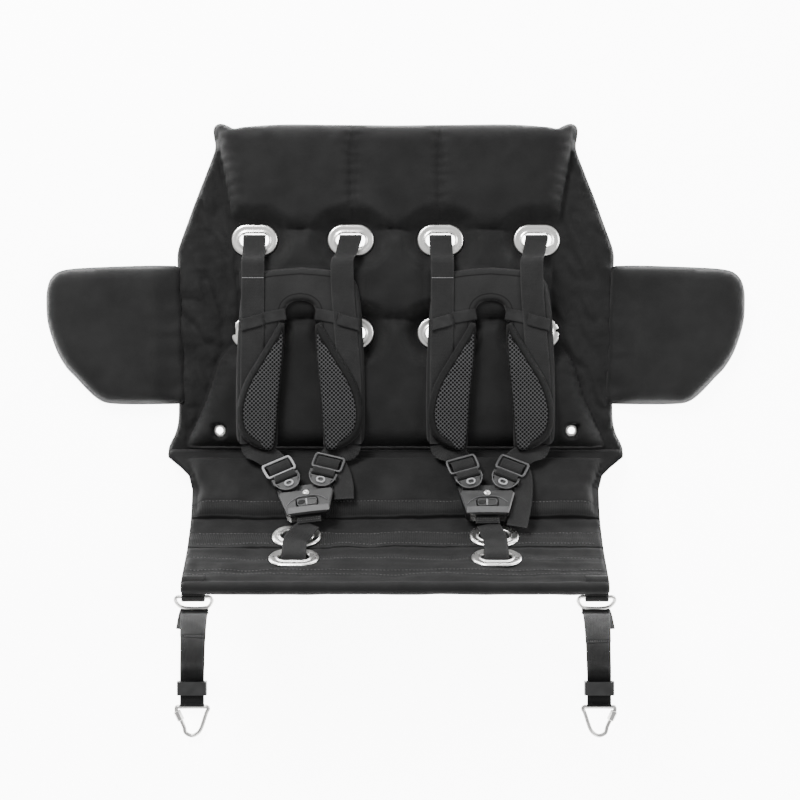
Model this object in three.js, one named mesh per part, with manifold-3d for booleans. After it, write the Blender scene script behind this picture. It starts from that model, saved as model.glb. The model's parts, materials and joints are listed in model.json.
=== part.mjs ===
// Double child seat insert for a bicycle trailer: a padded back with two side wings, a sling seat
// that folds at the crease, two five-point harnesses with buckles, and two leg straps with quick links.
// Millimetres. The seat lies on its back: +Z points out of the padded face, +Y towards the headrest
// and +X to the right. The origin is the centre of the rear face, on the surface the seat lies on.
import * as THREE from "three";
import { mergeVertices } from "three/addons/utils/BufferGeometryUtils.js";
import Module from "manifold-3d";

const wasm = await Module();
wasm.setup();

// ---------- driving dimensions ----------
const GAP = 0.4; // clearance between touching pieces
const WEBBING = { width: 30, thickness: 1.7 };

const BACK = {
  top: 214, // headrest edge above the origin
  bottom: -205, // lower end of the cover, just above the crease
  topHalf: 238,
  shoulderHalf: 288, // half width where the wings start
  lumbarHalf: 278, // half width where the wings end
  hipHalf: 290,
  cover: 5, // thickness of the rear panel
};
const WING = { top: 33, bottom: -153, reach: 174, thickness: 26, hingeGap: 5, hingeZ: 2.5, corner: 26, sweep: 66 };
const CUSHION = {
  topHalf: BACK.topHalf - 10, // half widths of the padded middle, from the headrest to the hips
  headrestHalf: BACK.topHalf - 22,
  half: BACK.lumbarHalf - 70,
  headrest: 24, // thicknesses
  middle: 27,
  lumbar: 27,
  bevel: 9,
};
const EYELET = {
  rowsY: [65, -58], // upper and lower rows of strap slots
  columnsX: [59.5, 187], // each side of the middle
  clear: 4, // slot beyond each edge of the webbing
  hole: 9, // radius of the slot's round ends
  wall: 1.2,
  flange: 12, // width of the rim round the hole
  rise: 3,
};
EYELET.half = WEBBING.width / 2 + EYELET.clear - EYELET.hole; // half the straight length of the slot
const ROUND_HOLE = { x: 232, y: -187, radius: 5 };

const SEAT = {
  creaseY: -215,
  creaseZ: 10, // the seat folds about the line along X through this point
  start: 7, // from the crease to the first fabric
  half: 256,
  sheet: 3,
  facets: [
    { tilt: 36, length: 105 },
    { tilt: 58, length: 60 },
    { tilt: 68, length: 92 },
  ],
  cushion: 13,
  cushionInset: 8, // seat panel beyond each end of its cushion
  hemRadius: 8,
  spareSlotAlong: 35, // middle of the unused crotch strap slot on the second facet
  slotAlong: 24, // and of the used one on the last facet
};
const HARNESS = {
  x: 124, // middle of each harness from the centre line
  endY: -210, // lower end of the pads
  half: 84,
  padInner: 26,
  padTop: 26,
  archTop: -16,
  archHalf: 18,
  backing: 6, // thickness of the backing pad
  pad: 10, // thickness of the shoulder pads
  strapTilt: 38, // slope of the straps and the buckle beyond the pads
};
const TONGUE = { at: 58, radius: 13.5, side: 2.8, length: 24, thickness: 8.4, blade: 11, bladeWidth: 12 };
TONGUE.half = WEBBING.width / 2 + GAP + TONGUE.side;
TONGUE.x = TONGUE.half - 1.7; // the two tongues fan out, so their wide ends pass each other
const BUCKLE = {
  top: 48, // distances down the strap from where it leaves the pads
  coverTop: 62,
  bottom: 98,
  topHalf: TONGUE.x + TONGUE.radius + 6,
  bottomHalf: TONGUE.x + 9.5,
  half: 9, // half the thickness
  pocket: 2, // half the height of the pocket
  wall: 4,
};
const BUTTON = { width: 25, length: 11, at: 81, top: 9.6, under: 3 };
const SLIDE = { at: 41.5, width: WEBBING.width + 8, length: 17, bar: 2.8, thickness: 3 };
// One entry a harness: how far its buckle lies off the harness's middle, how it is turned, and the
// lean of its two straps. Angles are in degrees, anticlockwise as seen from the front.
const HARNESSES = [
  { side: "left", x: -HARNESS.x, offset: 1.5, turn: 8, lean: [20, -24] },
  { side: "right", x: HARNESS.x, offset: -8, turn: 0, lean: [18, -26] },
];
const LEG = {
  width: 32,
  splay: 32, // how far the strap's foot lies outside its ring
  // side view from the ring's bow down to the surface, as steps along y and z
  steps: [
    [-5, -32],
    [-14, -39],
    [-21, -38],
    [-26, -35],
    [-25, -20],
  ],
  footY: [-512, -551],
  footZ: 5,
};
const RING = { wire: 2.2, half: LEG.width / 2 + 5, height: 20, tilt: 38, bore: 3.2, wall: 2.4 };
RING.corner = 7; // from the ring's side to where its bar is straight
RING.loop = 2 * (RING.half - RING.corner);
RING.x = SEAT.half - RING.loop / 2 - 4;
const LADDER = { y: -529, length: 18, wall: 2.4, clear: 1.4 };
const LINK = { wire: 2.3, half: LEG.width / 2 + 7, gateTop: 9, gate: 8, sleeve: 14, sleeveRadius: 4.4 };
LINK.apex = LINK.half - 15; // the legs lean the same way at any width
LINK.height = LINK.apex + 32;

const black = (roughness, shade) => ({ color: shade, roughness, metalness: 0 });
const MATERIALS = {
  shell_fabric: black(0.9, 0x1b1b1c),
  pad_fabric: black(0.95, 0x202021),
  mesh_fabric: black(0.95, 0x242526),
  webbing: black(0.8, 0x1d1e1e),
  plastic: black(0.38, 0x121314),
  plated_steel: { color: 0xc9c7c2, roughness: 0.28, metalness: 1 },
};

// ---------- helpers ----------
const rad = THREE.MathUtils.degToRad;
const root = new THREE.Group();

function add(name, geometry, slot, parent = root) {
  const mesh = new THREE.Mesh(geometry, new THREE.MeshStandardMaterial(MATERIALS[slot]));
  mesh.name = name;
  parent.add(mesh);
  return mesh;
}

// A closed geometry as a manifold solid.
function solid(geometry) {
  const bare = geometry.index ? geometry.toNonIndexed() : geometry;
  const open = new THREE.BufferGeometry().setAttribute("position", bare.getAttribute("position"));
  const merged = mergeVertices(open, 1e-3);
  return new wasm.Manifold(
    new wasm.Mesh({
      numProp: 3,
      vertProperties: new Float32Array(merged.attributes.position.array),
      triVerts: new Uint32Array(merged.index.array),
    }),
  );
}

// A manifold solid as a three.js geometry.
function geometryOf(body) {
  const mesh = body.getMesh();
  return new THREE.BufferGeometry()
    .setAttribute("position", new THREE.BufferAttribute(mesh.vertProperties, mesh.numProp))
    .setIndex(new THREE.BufferAttribute(mesh.triVerts, 1));
}

// The first list of geometries joined, less every geometry of the second.
function combine(joined, cut = []) {
  const [first, ...others] = joined.map(solid);
  const whole = others.reduce((body, other) => body.add(other), first);
  return geometryOf(cut.map(solid).reduce((body, tool) => body.subtract(tool), whole));
}

function polygon(points) {
  return new THREE.Shape(points.map(([x, y]) => new THREE.Vector2(x, y)));
}

// A half outline, from the top down, and its mirror image across the Y axis.
function mirrored(points) {
  return polygon([...points, ...points.map(([x, y]) => [-x, y]).reverse()]);
}

function smoothCurve(points, closed) {
  const through = points.map(([x, y]) => new THREE.Vector3(x, y, 0));
  return new THREE.CatmullRomCurve3(through, closed, "centripetal");
}

function disc(x, y, radius) {
  return new THREE.Shape().absarc(x, y, radius, 0, 2 * Math.PI);
}

function roundedRectangle(x, y, width, height, radius) {
  const [l, r, b, t] = [x - width / 2, x + width / 2, y - height / 2, y + height / 2];
  const shape = new THREE.Shape().moveTo(l + radius, b);
  shape.absarc(r - radius, b + radius, radius, -Math.PI / 2, 0);
  shape.absarc(r - radius, t - radius, radius, 0, Math.PI / 2);
  shape.absarc(l + radius, t - radius, radius, Math.PI / 2, Math.PI);
  shape.absarc(l + radius, b + radius, radius, Math.PI, Math.PI * 1.5);
  return shape;
}

// A slot outline: a straight stretch along X with two round ends.
function stadium(x, y, half, radius) {
  const shape = new THREE.Shape();
  shape.absarc(x + half, y, radius, -Math.PI / 2, Math.PI / 2);
  shape.absarc(x - half, y, radius, Math.PI / 2, Math.PI * 1.5);
  return shape;
}

// A flat plate from z0 to z1.
function plate(shape, z0, z1, curveSegments = 3) {
  const options = { depth: z1 - z0, bevelEnabled: false, curveSegments };
  return new THREE.ExtrudeGeometry(shape, options).translate(0, 0, z0);
}

// A plate from z0 to z1 whose top and bottom edges are rounded off, inside its outline.
function softPlate(shape, z0, z1, bevel, steps = 2) {
  const rise = Math.min(bevel, (z1 - z0) / 2 - 0.1);
  return new THREE.ExtrudeGeometry(shape, {
    depth: z1 - z0 - 2 * rise,
    bevelThickness: rise,
    bevelSize: bevel,
    bevelOffset: -bevel,
    bevelSegments: steps,
    curveSegments: 3,
  }).translate(0, 0, z0 + rise);
}

// A side view, given as y and z, carried along X from x0 to x1.
function sideExtrusion(shape, x0, x1) {
  const [x, y, z] = [new THREE.Vector3(1, 0, 0), new THREE.Vector3(0, 1, 0), new THREE.Vector3(0, 0, 1)];
  return plate(shape, x0, x1).applyMatrix4(new THREE.Matrix4().makeBasis(y, z, x));
}

function barAlongX(radius, x0, x1, y, z, sides = 16) {
  return new THREE.CylinderGeometry(radius, radius, x1 - x0, sides)
    .rotateZ(Math.PI / 2)
    .translate((x0 + x1) / 2, y, z);
}

// The outline of a strip along a line of [y, z] points, between two distances to its left.
function stripOutline(points, low, high) {
  const line = points.map(([y, z]) => new THREE.Vector2(y, z));
  const offset = (distance) =>
    line.map((point, i) => {
      const into = point.clone().sub(line[i - 1] ?? point).normalize();
      const out = (line[i + 1] ?? point).clone().sub(point).normalize();
      const along = into.clone().add(out).normalize();
      const stretch = 1 / Math.max(along.dot(i ? into : out), 0.5);
      return point.clone().addScaledVector(new THREE.Vector2(-along.y, along.x), distance * stretch);
    });
  return new THREE.Shape([...offset(low), ...offset(high).reverse()]);
}

// Flat webbing along a line of [y, z] points, centred on x.
function webbing(points, x = 0, width = WEBBING.width) {
  const half = WEBBING.thickness / 2;
  return sideExtrusion(stripOutline(points, -half, half), x - width / 2, x + width / 2);
}

// ---------- back ----------
const padZ = BACK.cover + GAP; // what the cushions lie on
const rowClear = EYELET.hole + EYELET.flange + GAP; // from a row's middle to a cushion
const [upperRow, lowerRow] = EYELET.rowsY;
const COLUMNS = {
  left_outer: -EYELET.columnsX[1],
  left_inner: -EYELET.columnsX[0],
  right_inner: EYELET.columnsX[0],
  right_outer: EYELET.columnsX[1],
};

function rearCover() {
  const outline = mirrored([
    [BACK.topHalf - 12, BACK.top],
    [BACK.topHalf, BACK.top - 8],
    [BACK.topHalf + 5, BACK.top - 28],
    [BACK.shoulderHalf, WING.top],
    [BACK.lumbarHalf, WING.bottom],
    [BACK.lumbarHalf + 3, WING.bottom - 24],
    [BACK.hipHalf, BACK.bottom + 6],
    [BACK.hipHalf - 8, BACK.bottom],
  ]);
  const barrel = EYELET.hole + EYELET.wall + GAP;
  const slots = EYELET.rowsY.flatMap((y) => Object.values(COLUMNS).map((x) => stadium(x, y, EYELET.half, barrel)));
  const rounds = [-1, 1].map((side) => disc(side * ROUND_HOLE.x, ROUND_HOLE.y, ROUND_HOLE.radius));
  outline.holes.push(...slots, ...rounds);
  return plate(outline, 0, BACK.cover);
}

function cushion(topHalf, bottomHalf, top, bottom, thickness) {
  const outline = mirrored([
    [topHalf, top],
    [bottomHalf, bottom],
  ]);
  return softPlate(outline, padZ, padZ + thickness, CUSHION.bevel);
}

// An eyelet about the origin: a barrel from z0 up to z1 and a rounded rim above z1.
function slotEyelet(z0, z1) {
  const { half, hole, wall, flange, rise } = EYELET;
  const barrel = stadium(0, 0, half, hole + wall);
  barrel.holes.push(stadium(0, 0, half, hole));
  const rim = stadium(0, 0, half, hole + flange);
  rim.holes.push(stadium(0, 0, half, hole + rise / 3));
  return combine([plate(barrel, z0, z1 + rise), softPlate(rim, z1, z1 + rise, rise / 3, 1)]);
}

add("rear_cover", rearCover(), "shell_fabric");
add(
  "headrest_cushion",
  cushion(CUSHION.topHalf, CUSHION.headrestHalf, BACK.top - 3, upperRow + rowClear, CUSHION.headrest),
  "shell_fabric",
);
add(
  "middle_cushion",
  cushion(CUSHION.half, CUSHION.half, upperRow - rowClear, lowerRow + rowClear, CUSHION.middle),
  "shell_fabric",
);
add(
  "lumbar_cushion",
  cushion(CUSHION.half, CUSHION.half, lowerRow - rowClear, BACK.bottom + 6, CUSHION.lumbar),
  "shell_fabric",
);
["upper", "lower"].forEach((row, i) => {
  for (const [column, x] of Object.entries(COLUMNS)) {
    const eyelet = add(`${row}_eyelet_${column}`, slotEyelet(GAP, padZ), "plated_steel");
    eyelet.position.set(x, EYELET.rowsY[i], 0);
  }
});

// ---------- wings ----------
// The outline runs out from the hinge line, round the outer corners and back along the swept edge.
function wing(side) {
  const { reach, corner, sweep, hingeGap } = WING;
  const span = WING.top - WING.bottom;
  const outline = new THREE.Shape().moveTo(side * hingeGap, span);
  outline.lineTo(side * (reach - corner), span - 5);
  outline.quadraticCurveTo(side * (reach - 2), span - 8, side * reach, span - corner - 12);
  outline.bezierCurveTo(side * reach, span * 0.6, side * (reach - 16), span * 0.35, side * (reach - sweep + 20), 22);
  outline.quadraticCurveTo(side * (reach - sweep + 4), 1, side * (reach - sweep - 20), 0);
  outline.lineTo(side * hingeGap, 0);
  return softPlate(outline, GAP, WING.thickness, 8);
}

const hingeLean = Math.atan2(BACK.shoulderHalf - BACK.lumbarHalf, WING.top - WING.bottom);
for (const [name, side] of [
  ["wing_left", -1],
  ["wing_right", 1],
]) {
  const panel = add(name, wing(side), "pad_fabric");
  panel.position.set(side * BACK.lumbarHalf, WING.bottom, 0);
  panel.rotation.z = -side * hingeLean;
}

// ---------- seat ----------
// Corner points of the seat's side view, as y and z, from the crease to the front edge.
const seatLine = [[SEAT.creaseY, SEAT.creaseZ]];
for (const { tilt, length } of SEAT.facets) {
  const [y, z] = seatLine.at(-1);
  seatLine.push([y - length * Math.cos(rad(tilt)), z + length * Math.sin(rad(tilt))]);
}

// A point of the side view, from how far along a facet it is and how high above it.
function onFacet(index, along, height) {
  const [y, z] = seatLine[index];
  const tilt = rad(SEAT.facets[index].tilt);
  return [
    y - along * Math.cos(tilt) + height * Math.sin(tilt),
    z + along * Math.sin(tilt) + height * Math.cos(tilt),
  ];
}

// Puts an object on a facet: its own -Y runs along the facet, away from the crease.
function placeOnFacet(object, index, along, x) {
  object.position.set(x, ...onFacet(index, along, 0));
  object.rotation.x = -rad(SEAT.facets[index].tilt);
}

const CROTCH_SLOTS = [
  { name: "spare_crotch_eyelet", facet: 1, along: SEAT.spareSlotAlong },
  { name: "crotch_eyelet", facet: 2, along: SEAT.slotAlong },
];
const [hemY, hemZ] = onFacet(2, SEAT.facets[2].length, -SEAT.sheet / 2);
const ringY = hemY - SEAT.hemRadius - RING.bore;
const ringZ = hemZ - 3;

function seatPanel() {
  const strip = stripOutline([onFacet(0, SEAT.start, 0), ...seatLine.slice(1)], 0, SEAT.sheet);
  const hem = barAlongX(SEAT.hemRadius, -SEAT.half, SEAT.half, hemY, hemZ);
  const loops = [-1, 1].map((side) => {
    const [x0, x1] = [side * RING.x - RING.loop / 2, side * RING.x + RING.loop / 2];
    return barAlongX(RING.bore + RING.wall, x0, x1, ringY, ringZ);
  });
  const barrel = EYELET.hole + EYELET.wall + GAP;
  const slots = CROTCH_SLOTS.flatMap(({ facet, along }) =>
    HARNESSES.map(({ x }) => {
      const tool = new THREE.Object3D();
      placeOnFacet(tool, facet, along, x);
      tool.updateMatrix();
      return plate(stadium(0, 0, EYELET.half, barrel), -10, 10).applyMatrix4(tool.matrix);
    }),
  );
  const bores = barAlongX(RING.bore, -SEAT.half - 1, SEAT.half + 1, ringY, ringZ, 12);
  return combine([sideExtrusion(strip, -SEAT.half, SEAT.half), hem, ...loops], [...slots, bores]);
}

function seatCushion() {
  const half = SEAT.half - SEAT.cushionInset;
  const outline = mirrored([
    [half, -SEAT.start - 9],
    [half, -SEAT.facets[0].length + 6],
  ]);
  return softPlate(outline, GAP, GAP + SEAT.cushion, 5);
}

add("seat_panel", seatPanel(), "shell_fabric");
placeOnFacet(add("seat_cushion", seatCushion(), "shell_fabric"), 0, 0, 0);
for (const { side, x } of HARNESSES) {
  for (const { name, facet, along } of CROTCH_SLOTS) {
    placeOnFacet(add(`${name}_${side}`, slotEyelet(-SEAT.sheet, GAP), "plated_steel"), facet, along, x);
  }
}

// ---------- harness on the back ----------
const backingZ = padZ + Math.max(CUSHION.middle, CUSHION.lumbar) + GAP;
const strapZ = backingZ + HARNESS.backing + GAP + WEBBING.thickness / 2 + GAP / 2;
const padBottomZ = strapZ + WEBBING.thickness / 2 + GAP;

// The backing pad: an upside-down U behind the shoulder pads, with an arched opening.
function backingPad() {
  const { half, padTop, archTop, archHalf, padInner, endY } = HARNESS;
  const outline = new THREE.Shape().moveTo(-half, endY + 22);
  outline.quadraticCurveTo(-half, endY, -half + 20, endY);
  outline.lineTo(-padInner - 4, endY);
  outline.lineTo(-padInner, archTop - 70);
  outline.lineTo(-archHalf, archTop - 40);
  outline.lineTo(-archHalf, archTop - 12);
  outline.quadraticCurveTo(-archHalf, archTop, 0, archTop);
  outline.quadraticCurveTo(archHalf, archTop, archHalf, archTop - 12);
  outline.lineTo(archHalf, archTop - 40);
  outline.lineTo(padInner, archTop - 70);
  outline.lineTo(padInner + 4, endY);
  outline.lineTo(half - 20, endY);
  outline.quadraticCurveTo(half, endY, half, endY + 22);
  outline.lineTo(half - 6, padTop - 34);
  outline.quadraticCurveTo(half - 8, padTop - 8, half - 28, padTop - 6);
  outline.quadraticCurveTo(0, padTop + 6, -half + 28, padTop - 6);
  outline.quadraticCurveTo(-half + 8, padTop - 8, -half + 6, padTop - 34);
  return softPlate(outline, backingZ, backingZ + HARNESS.backing, 2.2, 1);
}

// A leaf-shaped shoulder pad on the side given by its sign.
function shoulderPad(side) {
  const leaf = [
    [20, -60],
    [33, -66],
    [48, -98],
    [66, -132],
    [77, -157],
    [80, -178],
    [72, -197],
    [55, -207],
    [34, HARNESS.endY - 2],
    [30, -190],
    [27, -147],
    [22, -95],
  ];
  const outline = smoothCurve(leaf.map(([x, y]) => [side * x, y]), true).getPoints(24).slice(0, -1);
  return softPlate(polygon(outline.map((point) => [point.x, point.y])), padBottomZ, padBottomZ + HARNESS.pad, 3);
}

// Shoulder webbing: up out of its slot, over the eyelet's rim and down between the pads.
const overRim = padZ + EYELET.rise + WEBBING.thickness + GAP;
const shoulderLine = [
  [upperRow, GAP + 1],
  [upperRow, overRim - 2.5],
  [upperRow - 4, overRim + 1.5],
  [upperRow - 14, overRim + 11],
  [upperRow - rowClear - 3, backingZ + 1.2],
  [HARNESS.padTop + 5, strapZ],
  [HARNESS.endY + 6, strapZ],
];

// ---------- buckle and strap ends ----------
const swingY = HARNESS.endY - 7; // the straps bend about the line along X through here

// Half width of the buckle at a distance down the strap.
function buckleHalf(at) {
  const { coverTop, bottom, topHalf, bottomHalf } = BUCKLE;
  const share = Math.max(0, (at - coverTop) / (bottom - coverTop));
  return topHalf + (bottomHalf - topHalf) * share;
}

function buckleOutline(from) {
  const { bottom } = BUCKLE;
  return mirrored([
    [buckleHalf(from) - 4, -from],
    [buckleHalf(from + 4), -from - 4],
    [buckleHalf(bottom - 4), -bottom + 4],
    [buckleHalf(bottom) - 4, -bottom],
  ]);
}

function buckleHousing() {
  const { top, coverTop, bottom, half, pocket, wall } = BUCKLE;
  const room = mirrored([
    [buckleHalf(top) + 1, -top + 1],
    [buckleHalf(coverTop) + 1, -coverTop - 1],
    [buckleHalf(coverTop) - wall, -coverTop - 6],
    [buckleHalf(bottom) - wall, -bottom + wall],
  ]);
  return combine([plate(buckleOutline(top), -half, pocket)], [plate(room, -pocket, pocket + 1)]);
}

function buckleCover() {
  const outline = buckleOutline(BUCKLE.coverTop);
  const [width, length] = [BUTTON.width + 2 * GAP, BUTTON.length + 2 * GAP];
  outline.holes.push(roundedRectangle(0, -BUTTON.at, width, length, 3));
  return softPlate(outline, BUCKLE.pocket + GAP, BUCKLE.half, 1.6, 1);
}

function releaseButton() {
  return plate(roundedRectangle(0, -BUTTON.at, BUTTON.width, BUTTON.length, 3), BUTTON.under, BUTTON.top);
}

// A tongue: a rounded head with a webbing slot and a ring-shaped boss, and a blade into the buckle.
const tongueSlotY = TONGUE.length - 6;
function tongue() {
  const { radius, half, length, blade, bladeWidth, thickness } = TONGUE;
  const low = GAP - BUCKLE.pocket;
  const head = new THREE.Shape().absarc(0, radius, radius, Math.PI, 2 * Math.PI);
  head.lineTo(half, tongueSlotY - 3);
  head.lineTo(half, length);
  head.lineTo(-half, length);
  head.lineTo(-half, tongueSlotY - 3);
  head.holes.push(roundedRectangle(0, tongueSlotY, WEBBING.width + 2 * GAP, 4.6, 1.5));
  const boss = disc(0, radius - 3, 5);
  boss.holes.push(disc(0, radius - 3, 2.8));
  return combine([
    plate(head, low, low + thickness),
    plate(boss, low + thickness - 0.5, low + thickness + 1.2),
    plate(roundedRectangle(0, 2 - blade / 2, bladeWidth, blade + 4, 3), low, BUCKLE.pocket - GAP),
  ]);
}

// A three-bar slide with two windows.
function slide() {
  const { width, length, bar, thickness } = SLIDE;
  const window = (length - 3 * bar) / 2;
  const frame = roundedRectangle(0, 0, width, length, 4);
  for (const side of [-1, 1]) {
    frame.holes.push(roundedRectangle(0, (side * (bar + window)) / 2, width - 2 * bar, window, 1));
  }
  return plate(frame, -thickness / 2, thickness / 2, 1);
}

// Webbing from the slide to the tongue, in the tongue's own frame: under the slide, over the end
// of the tongue's head and down through its slot.
const headTop = GAP - BUCKLE.pocket + TONGUE.thickness + WEBBING.thickness / 2 + GAP;
const tongueLine = [
  [SLIDE.at + 5, 0],
  [TONGUE.length + 8, 0],
  [TONGUE.length + 3, headTop + GAP],
  [tongueSlotY + 1.2, headTop + GAP],
  [tongueSlotY, headTop - 2],
  [tongueSlotY, 1],
];

for (const { side, x, offset, turn, lean } of HARNESSES) {
  const onBack = new THREE.Group();
  onBack.position.x = x;
  const hanging = new THREE.Group();
  hanging.position.set(x + offset, swingY, strapZ);
  hanging.rotation.x = -rad(HARNESS.strapTilt);
  const buckle = new THREE.Group();
  buckle.rotation.z = rad(turn);
  hanging.add(buckle);
  root.add(onBack, hanging);

  add(`backing_pad_${side}`, backingPad(), "pad_fabric", onBack);
  add(`buckle_housing_${side}`, buckleHousing(), "plastic", buckle);
  add(`buckle_cover_${side}`, buckleCover(), "plastic", buckle);
  add(`release_button_${side}`, releaseButton(), "plastic", buckle);
  for (const [hand, sign] of [
    ["outer", Math.sign(x)],
    ["inner", -Math.sign(x)],
  ]) {
    const column = Math.sign(x) * EYELET.columnsX[hand === "outer" ? 1 : 0];
    add(`shoulder_webbing_${side}_${hand}`, webbing(shoulderLine, column - x), "webbing", onBack);
    add(`shoulder_pad_${side}_${hand}`, shoulderPad(sign), "mesh_fabric", onBack);
    const end = new THREE.Group();
    end.position.set(sign * TONGUE.x, -TONGUE.at, 0);
    end.rotation.z = rad(lean[sign < 0 ? 0 : 1]);
    buckle.add(end);
    add(`tongue_${side}_${hand}`, tongue(), "plastic", end);
    add(`tongue_webbing_${side}_${hand}`, webbing(tongueLine), "webbing", end);
    const ladder = add(`strap_slide_${side}_${hand}`, slide(), "plastic", end);
    ladder.position.set(0, SLIDE.at, WEBBING.thickness / 2 + GAP + SLIDE.thickness / 2);
  }
}

// Crotch straps: up out of the used slot, over the spare one and on towards the buckle.
const crotchLift = EYELET.rise + WEBBING.thickness + 2 * GAP;
const buckleFoot = BUCKLE.bottom + 10;
const crotchLine = [
  onFacet(2, SEAT.slotAlong, -2),
  onFacet(2, SEAT.slotAlong, crotchLift - 1),
  onFacet(2, SEAT.slotAlong - 5, crotchLift + 2),
  onFacet(2, 0, crotchLift + 3),
  onFacet(1, SEAT.spareSlotAlong, crotchLift + 2),
  [
    swingY - buckleFoot * Math.cos(rad(HARNESS.strapTilt)),
    strapZ + buckleFoot * Math.sin(rad(HARNESS.strapTilt)),
  ],
];
for (const { side, x } of HARNESSES) add(`crotch_strap_${side}`, webbing(crotchLine, x), "webbing");

// ---------- leg straps ----------
// A wire bent along a curve in the plane of its own X and Y.
function bentWire(curve, radius, steps) {
  const section = disc(0, 0, radius);
  const options = { steps, curveSegments: 4, extrudePath: curve, bevelEnabled: false };
  return new THREE.ExtrudeGeometry(section, options);
}

// A D-ring: its straight bar lies on the X axis and its bow hangs towards -Y.
function dRing() {
  const { half, height, wire } = RING;
  const bow = [
    [-half, -9],
    [-half * 0.7, -height + 2],
    [0, -height],
    [half * 0.7, -height + 2],
    [half, -9],
    [half, -3],
    [half - 3, 0],
    [half - RING.corner, 0],
    [RING.corner - half, 0],
    [3 - half, 0],
    [-half, -3],
  ];
  return bentWire(smoothCurve(bow, true), wire, 26);
}

const hang = RING.height + RING.wire + WEBBING.thickness; // from the ring's bar to the strap
const legLine = [[ringY - hang * Math.cos(rad(RING.tilt)), ringZ - hang * Math.sin(rad(RING.tilt))]];
for (const [dy, dz] of LEG.steps) {
  const [y, z] = legLine.at(-1);
  legLine.push([y + dy, z + dz]);
}
for (const y of LEG.footY) legLine.push([y, LEG.footZ]);

// How far out the strap lies at a height: it splays as it comes down.
function legX(z) {
  const top = legLine[0][1];
  return RING.x + (LEG.splay * (top - z)) / (top - LEG.footZ);
}

// The strap with the loop at its foot that holds the quick link's bar.
function legStrap(side) {
  const loopY = LEG.footY.at(-1);
  const strap = webbing(legLine, 0, LEG.width);
  const spot = strap.getAttribute("position");
  for (let i = 0; i < spot.count; i++) spot.setX(i, spot.getX(i) + side * legX(spot.getZ(i)));
  const x = side * legX(LEG.footZ);
  const [x0, x1] = [x - LEG.width / 2, x + LEG.width / 2];
  const bore = LINK.wire + GAP;
  const loop = barAlongX(bore + WEBBING.thickness, x0, x1, loopY - bore, LEG.footZ, 12);
  return combine([strap, loop], [barAlongX(bore, x0 - 1, x1 + 1, loopY - bore, LEG.footZ, 12)]);
}

// A ladder lock: a rectangular frame round the strap.
function ladderLock() {
  const { wall, clear, length } = LADDER;
  const [width, height] = [LEG.width + 2 * clear, WEBBING.thickness + 2 * clear];
  const frame = roundedRectangle(0, 0, width + 2 * wall, height + 2 * wall, 2);
  frame.holes.push(roundedRectangle(0, 0, width, height, 1));
  return plate(frame, -length / 2, length / 2, 1).rotateX(Math.PI / 2);
}

// The quick link's wire, from one side of its gate round to the other. Its bar lies on the X axis.
const linkLeg = new THREE.Vector2(LINK.apex - LINK.half, LINK.apex - LINK.height).normalize();
function onLinkLeg(distance) {
  return [LINK.half + linkLeg.x * distance, linkLeg.y * distance];
}
function quickLink() {
  const { half, height, apex, gateTop, gate, wire } = LINK;
  const path = [
    onLinkLeg(gateTop),
    onLinkLeg(5),
    [half - 3, 0],
    [half - 7, 0],
    [7 - half, 0],
    [3 - half, 0],
    [-half - linkLeg.x * 3, linkLeg.y * 3],
    [-half - linkLeg.x * 10, linkLeg.y * 10],
    [-apex, apex - height],
    [-apex / 2, apex * 0.3 - height],
    [apex / 2, apex * 0.3 - height],
    [apex, apex - height],
    onLinkLeg(gateTop + gate + 12),
    onLinkLeg(gateTop + gate),
  ];
  return bentWire(smoothCurve(path, false), wire, 34);
}

function linkSleeve() {
  const [inner, outer, half] = [LINK.wire + GAP, LINK.sleeveRadius, LINK.sleeve / 2];
  const profile = [
    [inner, -half],
    [outer, -half],
    [outer, half],
    [inner, half],
    [inner, -half],
  ];
  return new THREE.LatheGeometry(profile.map(([r, y]) => new THREE.Vector2(r, y)), 12);
}

for (const [name, side] of [
  ["left", -1],
  ["right", 1],
]) {
  const ring = add(`d_ring_${name}`, dRing(), "plated_steel");
  ring.position.set(side * RING.x, ringY, ringZ);
  ring.rotation.x = rad(RING.tilt);
  add(`leg_strap_${name}`, legStrap(side), "webbing");
  const foot = new THREE.Group();
  foot.position.set(side * legX(LEG.footZ), 0, LEG.footZ);
  root.add(foot);
  add(`ladder_lock_${name}`, ladderLock(), "plastic", foot).position.y = LADDER.y;
  const link = new THREE.Group();
  link.position.y = LEG.footY.at(-1) - LINK.wire - GAP;
  link.rotation.y = side < 0 ? Math.PI : 0;
  foot.add(link);
  add(`quick_link_${name}`, quickLink(), "plated_steel", link);
  const sleeve = add(`link_sleeve_${name}`, linkSleeve(), "plated_steel", link);
  sleeve.position.set(...onLinkLeg(LINK.gateTop + LINK.gate / 2), 0);
  sleeve.rotation.z = Math.atan2(linkLeg.y, linkLeg.x) + Math.PI / 2;
}

export default root;
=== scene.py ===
import json
import math

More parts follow.
